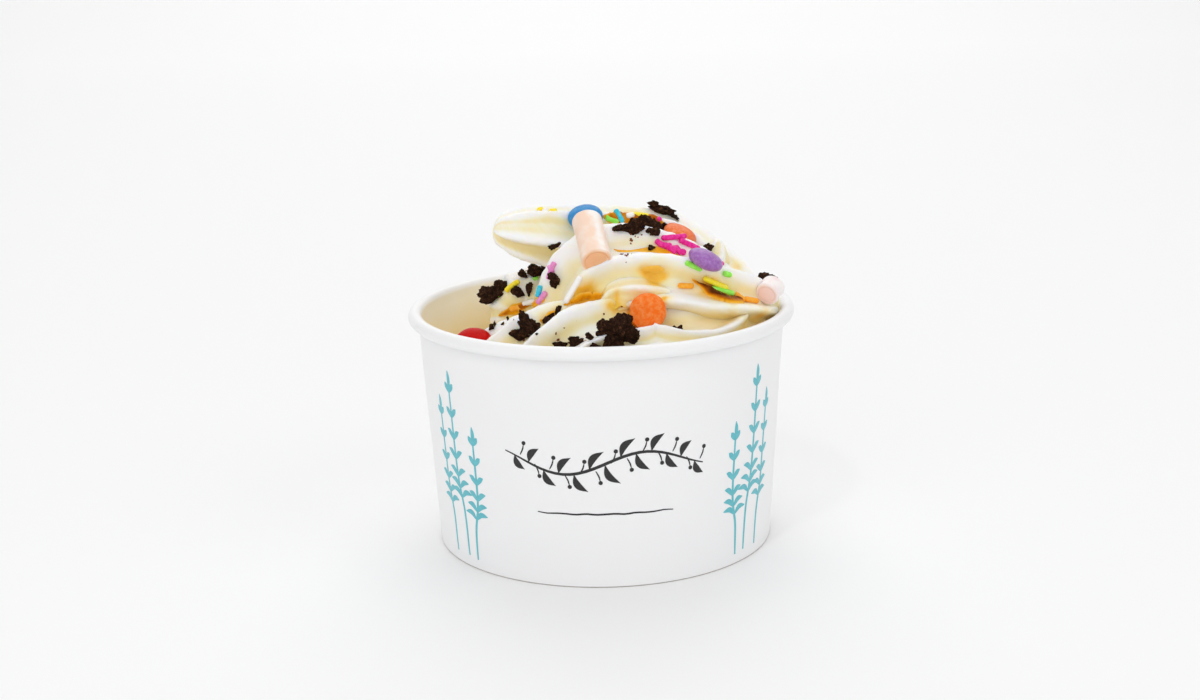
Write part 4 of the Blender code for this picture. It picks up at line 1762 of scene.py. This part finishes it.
@dataclass
class Toppings:
    """Everything strewn on the yogurt, and the cookie's material."""

    ground: Ground
    cookie: Material

    def candies(self) -> list[Piece]:
        """Make the five candies, and return them."""
        candies = (
            SugarCandy("candy_orange_front", (10.9, -29.6, 63.5), (0.10, -0.96, 0.22), Candy.ORANGE, 31),
            SugarCandy("candy_orange_top", (20.2, 6.2, 74.9), (0.42, -0.14, 0.90), Candy.ORANGE_PALE, 32),
            SugarCandy("candy_blue", (-3.4, 2.6, 80.5), (-0.10, -0.45, 0.88), Candy.BLUE, 33),
            SugarCandy("candy_purple", (25.0, -20.8, 73.7), (0.43, -0.06, 0.90), Candy.PURPLE, 34),
            SugarCandy("candy_red", (-30.5, -22.4, 55.5), (0.04, -0.42, 0.91), Candy.RED, 35),
        )
        return [candy.build() for candy in candies]

    def marshmallows(self) -> list[Piece]:
        """Make the two marshmallows, and return them."""
        # Marshmallow: soft, matt and pale, with dust on it and light in it
        peach = MarshmallowFinish("marshmallow_peach", "#FADAC4", "#FFF6EF", "#F9BE8E")
        pink = MarshmallowFinish("marshmallow_pink", "#FBF3F1", "#F3BDBE", "#F9DAD4")
        pieces = (
            MiniMarshmallow("marshmallow_peach", (-0.7, -25.8, 74.7), (-2.9, -12.0, 82.2), 3.65, peach, 41),
            MiniMarshmallow("marshmallow_pink", (40.0, -13.9, 63.3), (42.3, -9.8, 64.9), 2.9, pink, 42,
                            streak_side=(-0.5, -0.5, -0.7)),
        )
        return [piece.build() for piece in pieces]

    def chunks(self) -> list[Piece]:
        """Make the six cookie chunks, and return them."""
        chunks = (
            CookieChunk("chunk_front", (
                Lobe((4.3, -39.0, 62.5), (3.0, 2.6, 3.1), -14, 3),
                Lobe((2.6, -38.8, 61.4), (2.2, 2.2, 2.0), 10, 12),
                Lobe((0.4, -38.6, 61.6), (1.7, 1.6, 1.6), 20, 5),
                Lobe((2.3, -39.0, 59.2), (2.7, 2.2, 1.5), 5, 6),
                Lobe((5.9, -39.2, 60.2), (1.9, 1.9, 1.8), -30, 7))),
            CookieChunk("chunk_left", (
                Lobe((-25.9, 10.5, 61.5), (2.1, 2.0, 2.0), 25, 8),
                Lobe((-27.6, 10.3, 59.5), (2.7, 2.3, 2.4), 10, 9))),
            CookieChunk("chunk_left_front", (
                Lobe((-18.1, -27.2, 61.7), (1.6, 1.6, 2.2), 24, 15),
                Lobe((-16.8, -27.4, 59.9), (2.3, 1.8, 1.7), -8, 16),
                Lobe((-19.3, -27.2, 58.1), (1.9, 1.7, 2.0), -38, 17),
                Lobe((-15.2, -27.2, 60.0), (1.1, 1.1, 1.0), 0, 18))),
            CookieChunk("chunk_top", (
                Lobe((8.4, -10.4, 80.1), (3.1, 2.3, 1.9), 5, 21),
                Lobe((4.8, -10.4, 79.9), (2.0, 1.7, 1.1), 10, 22),
                Lobe((10.1, -10.0, 81.4), (1.6, 1.6, 1.2), 40, 23))),
            CookieChunk("chunk_top_edge", (
                Lobe((15.1, 14.6, 80.0), (3.0, 1.9, 1.2), -8, 29),
                Lobe((13.9, 14.5, 81.4), (1.0, 1.0, 1.0), 0, 31),
                Lobe((17.6, 14.6, 79.7), (1.4, 1.3, 1.1), -35, 30),
                Lobe((19.4, 14.4, 77.9), (2.0, 1.0, 0.45), -35, 32))),
            CookieChunk("chunk_neck", (
                Lobe((-16.0, 9.0, 65.6), (2.1, 1.9, 1.7), -10, 37),
                Lobe((-14.2, 9.2, 66.8), (1.1, 1.0, 0.6), 20, 36))),
        )
        return [chunk.build(self.cookie) for chunk in chunks]

    def crumbs(self) -> list[Piece]:
        """Make the crumbs and the specks, and return the two pieces."""
        crumbs = (
            ((-9.9, -35.4, 57.2), 1.1), ((-6.4, -35.6, 58.6), 1.15), ((-5.3, -36.4, 57.2), 1.15),
            ((-2.5, -38.6, 59.8), 1.05), ((-2.2, -38.8, 58.4), 1.0), ((0.8, -39.6, 57.2), 0.95),
            ((-13.1, -25.6, 61.0), 1.1), ((-12.0, -25.4, 61.5), 0.9), ((-10.0, -24.6, 62.9), 1.0),
            ((-1.3, -38.6, 62.4), 0.7), ((-20.6, 5.4, 60.9), 1.55),
            ((-18.1, 6.6, 61.8), 1.2), ((-20.0, 9.0, 66.4), 0.95), ((-10.9, -14.0, 68.6), 1.5),
            ((-11.6, -14.0, 67.6), 1.0), ((-11.0, -3.0, 74.0), 1.1), ((13.0, -9.8, 78.6), 1.3),
            ((11.9, -9.7, 78.9), 0.8), ((14.3, 6.0, 77.2), 1.9), ((11.8, 4.0, 78.6), 1.6),
            ((16.4, 6.2, 76.4), 1.2), ((24.8, 2.3, 74.0), 1.3), ((26.0, 2.6, 73.0), 0.9),
            ((12.4, -12.6, 75.3), 0.9), ((40.3, -7.2, 65.6), 1.8), ((39.2, -6.0, 66.0), 1.2),
            ((44.6, -7.0, 62.6), 1.0), ((18.3, -28.0, 58.1), 0.9), ((17.2, -27.6, 58.4), 0.7),
            ((-26.2, -20.0, 58.0), 0.6), ((-25.4, -19.4, 58.8), 0.55), ((-22.3, -19.0, 60.1), 0.35),
            ((-23.5, -20.2, 59.1), 0.3), ((-20.7, -25.0, 61.2), 0.22), ((-15.0, -35.1, 60.0), 0.25),
        )
        dusted = (
            ((-17.7, -28.1, 57.2), 1.6, 6), ((-3.0, -36.0, 60.0), 2.6, 9), ((-8.0, -34.0, 59.0), 2.4, 6),
            ((6.1, -23.9, 76.0), 0.9, 12), ((7.6, -25.3, 67.4), 1.0, 9), ((7.6, -12.3, 77.4), 0.8, 7),
            ((1.5, -35.0, 62.0), 2.0, 7), ((-18.3, 11.0, 63.4), 2.0, 8), ((9.0, -12.0, 79.0), 2.6, 7),
            ((6.0, -33.5, 63.5), 1.4, 5),
        )
        return Crumbs(crumbs, dusted).build(self.ground, self.cookie)

    def rods(self) -> list[Piece]:
        """Make the sugar rods, and return one piece for each colour."""
        kinds = (
            SugarRods("rods_turquoise", Rod.TURQUOISE, (
                ((5.2, 5.8, 80.2), 119, 3.9, 0.9), ((-14.9, -12.2, 65.1), 74, 3.0))),
            SugarRods("rods_green", Rod.GREEN, (
                ((3.8, 4.0, 79.4), -20, 3.8), ((22.1, -21.9, 72.4), -24, 4.5),
                ((30.2, -18.9, 69.7), -15, 2.3), ((29.1, -19.0, 65.7), -13, 6.5),
                ((-16.4, 9.6, 62.6), 75, 1.8), ((-23.8, 10.8, 58.4), 75, 2.0)), seed=17),
            SugarRods("rods_yellow", Rod.YELLOW, (
                ((10.4, 7.6, 80.0), -8, 4.3, 0.6), ((27.5, -19.6, 67.5), -22, 7.4),
                ((-22.9, 6.4, 62.9), 34, 4.8), ((-11.4, 4.6, 81.6), 5, 2.0),
                ((-14.6, 5.0, 81.4), 20, 1.6)), seed=27),
            SugarRods("rods_white", Rod.WHITE, (
                ((7.9, 7.0, 79.8), 10, 2.2, 0.5), ((-6.5, -26.6, 68.4), 58, 7.4),
                ((-18.2, 4.6, 58.6), 15, 3.4), ((-13.2, 4.2, 81.8), 25, 2.0),
                ((18.6, -10.6, 74.9), -50, 1.3), ((19.6, -10.6, 74.3), 10, 1.1)), seed=37),
            SugarRods("rods_magenta", Rod.MAGENTA, (
                ((18.2, -8.6, 77.1), 5, 7.1), ((22.0, -8.2, 75.2), -25, 5.8),
                ((15.0, 8.4, 78.4), 40, 1.3), ((28.9, -17.6, 71.9), -40, 0.9)), seed=47),
            SugarRods("rods_magenta_crushed", Rod.MAGENTA, (
                ((14.2, -10.8, 76.0), -40, 2.0), ((15.4, -10.9, 75.6), -10, 2.2),
                ((16.6, -10.9, 75.4), 20, 2.0), ((17.2, -11.0, 74.8), -35, 2.6),
                ((18.4, -10.7, 74.9), 5, 2.2), ((19.3, -10.6, 74.3), -50, 2.2),
                ((20.0, -10.5, 73.9), -15, 2.0), ((18.0, -11.2, 74.2), 60, 1.4)), 0.75, 97),
            SugarRods("rods_pink", Rod.PINK, (
                ((-14.4, -13.4, 63.7), 50, 3.8), ((-11.5, -12.4, 71.4), 60, 2.0),
                ((-11.9, -12.4, 70.6), 110, 2.2), ((-12.2, -12.8, 69.2), 72, 2.4)), seed=57),
            SugarRods("rods_orange", Rod.ORANGE, (
                ((33.3, -17.2, 63.7), -38, 3.0), ((36.2, -15.6, 62.5), -9, 4.6),
                ((20.1, -21.6, 67.6), -3, 3.9), ((-22.0, 5.4, 57.0), 10, 2.4),
                ((-20.9, 5.2, 57.2), -40, 1.6)), seed=67),
        )
        return [kind.build(self.ground) for kind in kinds]

    def sauce(self) -> Piece:
        """Make the caramel, every run of it in one piece, and return it."""
        runs = (
            Drizzle(((3.2, -14.1, 75.7, 0.3), (5.6, -15.0, 75.3, 0.5), (8.7, -14.4, 75.2, 0.8),
                     (12.5, -13.2, 75.2, 1.3), (15.5, -12.4, 74.8, 1.2), (20.7, -11.6, 73.4, 0.5)), 0.55, 71),
            Drizzle(((21.6, -20.6, 69.1, 0.4), (25.3, -20.2, 66.5, 1.0), (27.4, -20.3, 65.0, 1.9),
                     (29.7, -20.0, 64.1, 2.6), (32.3, -19.0, 63.3, 2.3), (34.3, -17.4, 62.8, 1.0)), 1.5, 72),
            Drizzle(((0.6, 6.0, 79.8, 0.7), (3.6, 6.8, 79.3, 2.0), (7.2, 7.4, 79.0, 2.7),
                     (10.9, 7.8, 78.6, 2.8), (14.1, 8.2, 77.4, 2.4), (17.0, 8.6, 76.2, 1.0)), 1.1, 73),
            Drizzle(((-9.5, -27.5, 64.6, 0.4), (-6.0, -27.0, 65.3, 0.8), (-3.3, -25.6, 66.1, 1.0),
                     (-0.7, -24.8, 66.4, 0.8), (1.4, -25.0, 66.0, 0.4)), 0.6, 74),
            Drizzle(((-26.2, 8.0, 54.6, 0.6), (-23.5, 6.0, 56.0, 1.1), (-20.1, 4.9, 57.6, 1.4),
                     (-17.6, 3.6, 58.8, 1.0)), 0.9, 75),
            Drizzle(((-16.8, -11.6, 61.2, 0.5), (-15.8, -12.3, 62.4, 0.9),
                     (-13.7, -13.8, 63.4, 0.6)), 0.6, 76),
            Drizzle(((-14.6, -25.0, 61.0, 0.4), (-13.1, -25.4, 60.9, 0.8), (-11.8, -24.6, 62.2, 0.9),
                     (-9.7, -23.6, 62.8, 0.5)), 0.6, 77),
            Drizzle(((9.4, -22.9, 71.9, 0.4), (11.2, -23.1, 72.0, 0.9), (13.2, -23.1, 71.6, 1.1),
                     (15.6, -22.8, 71.0, 0.6)), 0.2, 79),
            Drizzle(((-15.6, 4.4, 81.2, 0.4), (-13.0, 4.0, 81.6, 0.8), (-10.4, 4.0, 81.6, 0.5)), 0.4, 78),
        )
        skin = Skin.joined([run.skin(self.ground) for run in runs])
        # Caramel sauce: glassy, gold where thin and dark amber where deep
        return settle(skin.object("caramel_sauce", CaramelFinish("caramel_sauce").build()))

    def build(self) -> list[Piece]:
        """Make every topping, and return the pieces."""
        pieces = self.candies() + self.marshmallows() + self.chunks()
        return pieces + self.crumbs() + self.rods() + [self.sauce()]


# ---------------------------------------------------------------- the studio

@dataclass
class Studio:
    """White sweep, soft boxes and the camera."""

    # The camera's place in metres, its tilt down and its roll in degrees, its lens in mm
    eye: Place = (-0.00048, -0.43291, 0.15609)
    pitch: float = 14.14
    roll: float = 1.28
    lens: float = 53.26

    def sweep(self) -> Piece:
        """Paper that runs flat under the cup and curves up far behind it.

        Returns:
            The stage: a straight run, a quarter circle of 1 m and a straight rise, each
            carried 8 m sideways.
        """
        flat = [(-4.0, 0.0), (1.5, 0.0)]
        bend = [(1.5 + math.sin(a), 1 - math.cos(a)) for a in np.linspace(0, math.pi / 2, 40)]
        line = np.array(flat + bend[1:] + [(2.5, 4.0)])
        side = np.array([-4.0, 4.0])
        points = np.stack([np.broadcast_to(side[None, :], (len(line), 2)),
                           np.broadcast_to(line[:, :1], (len(line), 2)),
                           np.broadcast_to(line[:, 1:], (len(line), 2))], axis=-1).reshape(-1, 3)
        row = np.arange(len(line) - 1)
        quads = np.stack([row * 2, row * 2 + 1, row * 2 + 3, row * 2 + 2], axis=-1)
        skin = Skin(points / MM, quads, np.zeros((0, 3), int))
        # Matt white paper, which only shows the cup's soft shadow
        stage = skin.object("paper_sweep", SweepFinish("matt_white_paper").build())
        return stage

    def soft_box(self, name: str, place: Place, size: float, power: float,
                 target: Place = (0.0, 0.0, 0.05)) -> None:
        """Hang a square lamp that looks at the cup.

        Args:
            name: the lamp's name.
            place: where it hangs, in metres.
            size: its side.
            power: its watts.
            target: what it looks at.
        """
        lamp = bpy.data.lights.new(name, "AREA")
        lamp.size = size
        lamp.energy = power
        piece = bpy.data.objects.new(name, lamp)
        aim = Vector(target) - Vector(place)
        turn = aim.to_track_quat("-Z", "Y").to_matrix().to_4x4()
        piece.matrix_world = Matrix.Translation(Vector(place)) @ turn
        bpy.context.scene.collection.objects.link(piece)

    def light(self) -> None:
        """Fill the room with white light and hang the soft boxes."""
        world = bpy.data.worlds.new("white_room")
        world.use_nodes = True
        background = world.node_tree.nodes["Background"]
        background.inputs["Color"].default_value = (1.0, 1.0, 1.0, 1.0)
        background.inputs["Strength"].default_value = 0.66
        bpy.context.scene.world = world
        self.soft_box("key_box", (-0.5, -0.8, 0.6), 0.7, 1.0)
        self.soft_box("fill_box", (0.1, -1.2, 0.4), 0.8, 1.3)
        self.soft_box("right_box", (0.8, -0.5, 0.75), 0.6, 1.0)
        self.soft_box("top_box", (0.0, 0.45, 1.2), 1.0, 3.0)
        self.soft_box("back_box", (0.0, 2.2, 1.5), 2.0, 14.5, (0.0, 2.25, 0.0))
        # A small bare bulb, which only gives wet things their glints
        self.soft_box("glint_bulb", (-0.25, -0.55, 0.8), 0.04, 0.5)

    def camera(self) -> None:
        """Set the camera: at the eye, looking along +Y and down by the pitch, then rolled."""
        data = bpy.data.cameras.new("front_camera")
        data.lens = self.lens
        data.sensor_width = 36.0
        data.clip_start = 0.01
        data.clip_end = 50.0
        piece = bpy.data.objects.new("front_camera", data)
        tip = math.radians(90 - self.pitch)
        piece.matrix_world = (Matrix.Translation(Vector(self.eye)) @ Matrix.Rotation(tip, 4, "X")
                              @ Matrix.Rotation(math.radians(-self.roll), 4, "Z"))
        bpy.context.scene.collection.objects.link(piece)
        bpy.context.scene.camera = piece

    def build(self) -> None:
        """Set up the stage, the light, the camera and the plain tone curve."""
        self.camera()
        self.sweep()
        self.light()
        bpy.context.scene.view_settings.view_transform = "Standard"


def main() -> None:
    """Build the studio and every piece of the cup in order, and log each one."""
    logging.basicConfig(level=logging.INFO, format="%(name)s: %(message)s")
    Studio().build()
    cup = PaperCup()
    pieces = cup.build() + WallPrint(cup).build()
    yogurt, ground = Swirl(cup).build()
    # Dark cocoa cookie: dry and matt, near black in its pores
    cookie = CookieFinish("cocoa_cookie", ("#190D08", "#3A2214", "#7C5539")).build()
    pieces += yogurt + Toppings(ground, cookie).build()
    for piece in pieces:
        LOG.info("%s: %d faces", piece.name, len(piece.data.polygons))


if __name__ == "__main__":
    main()
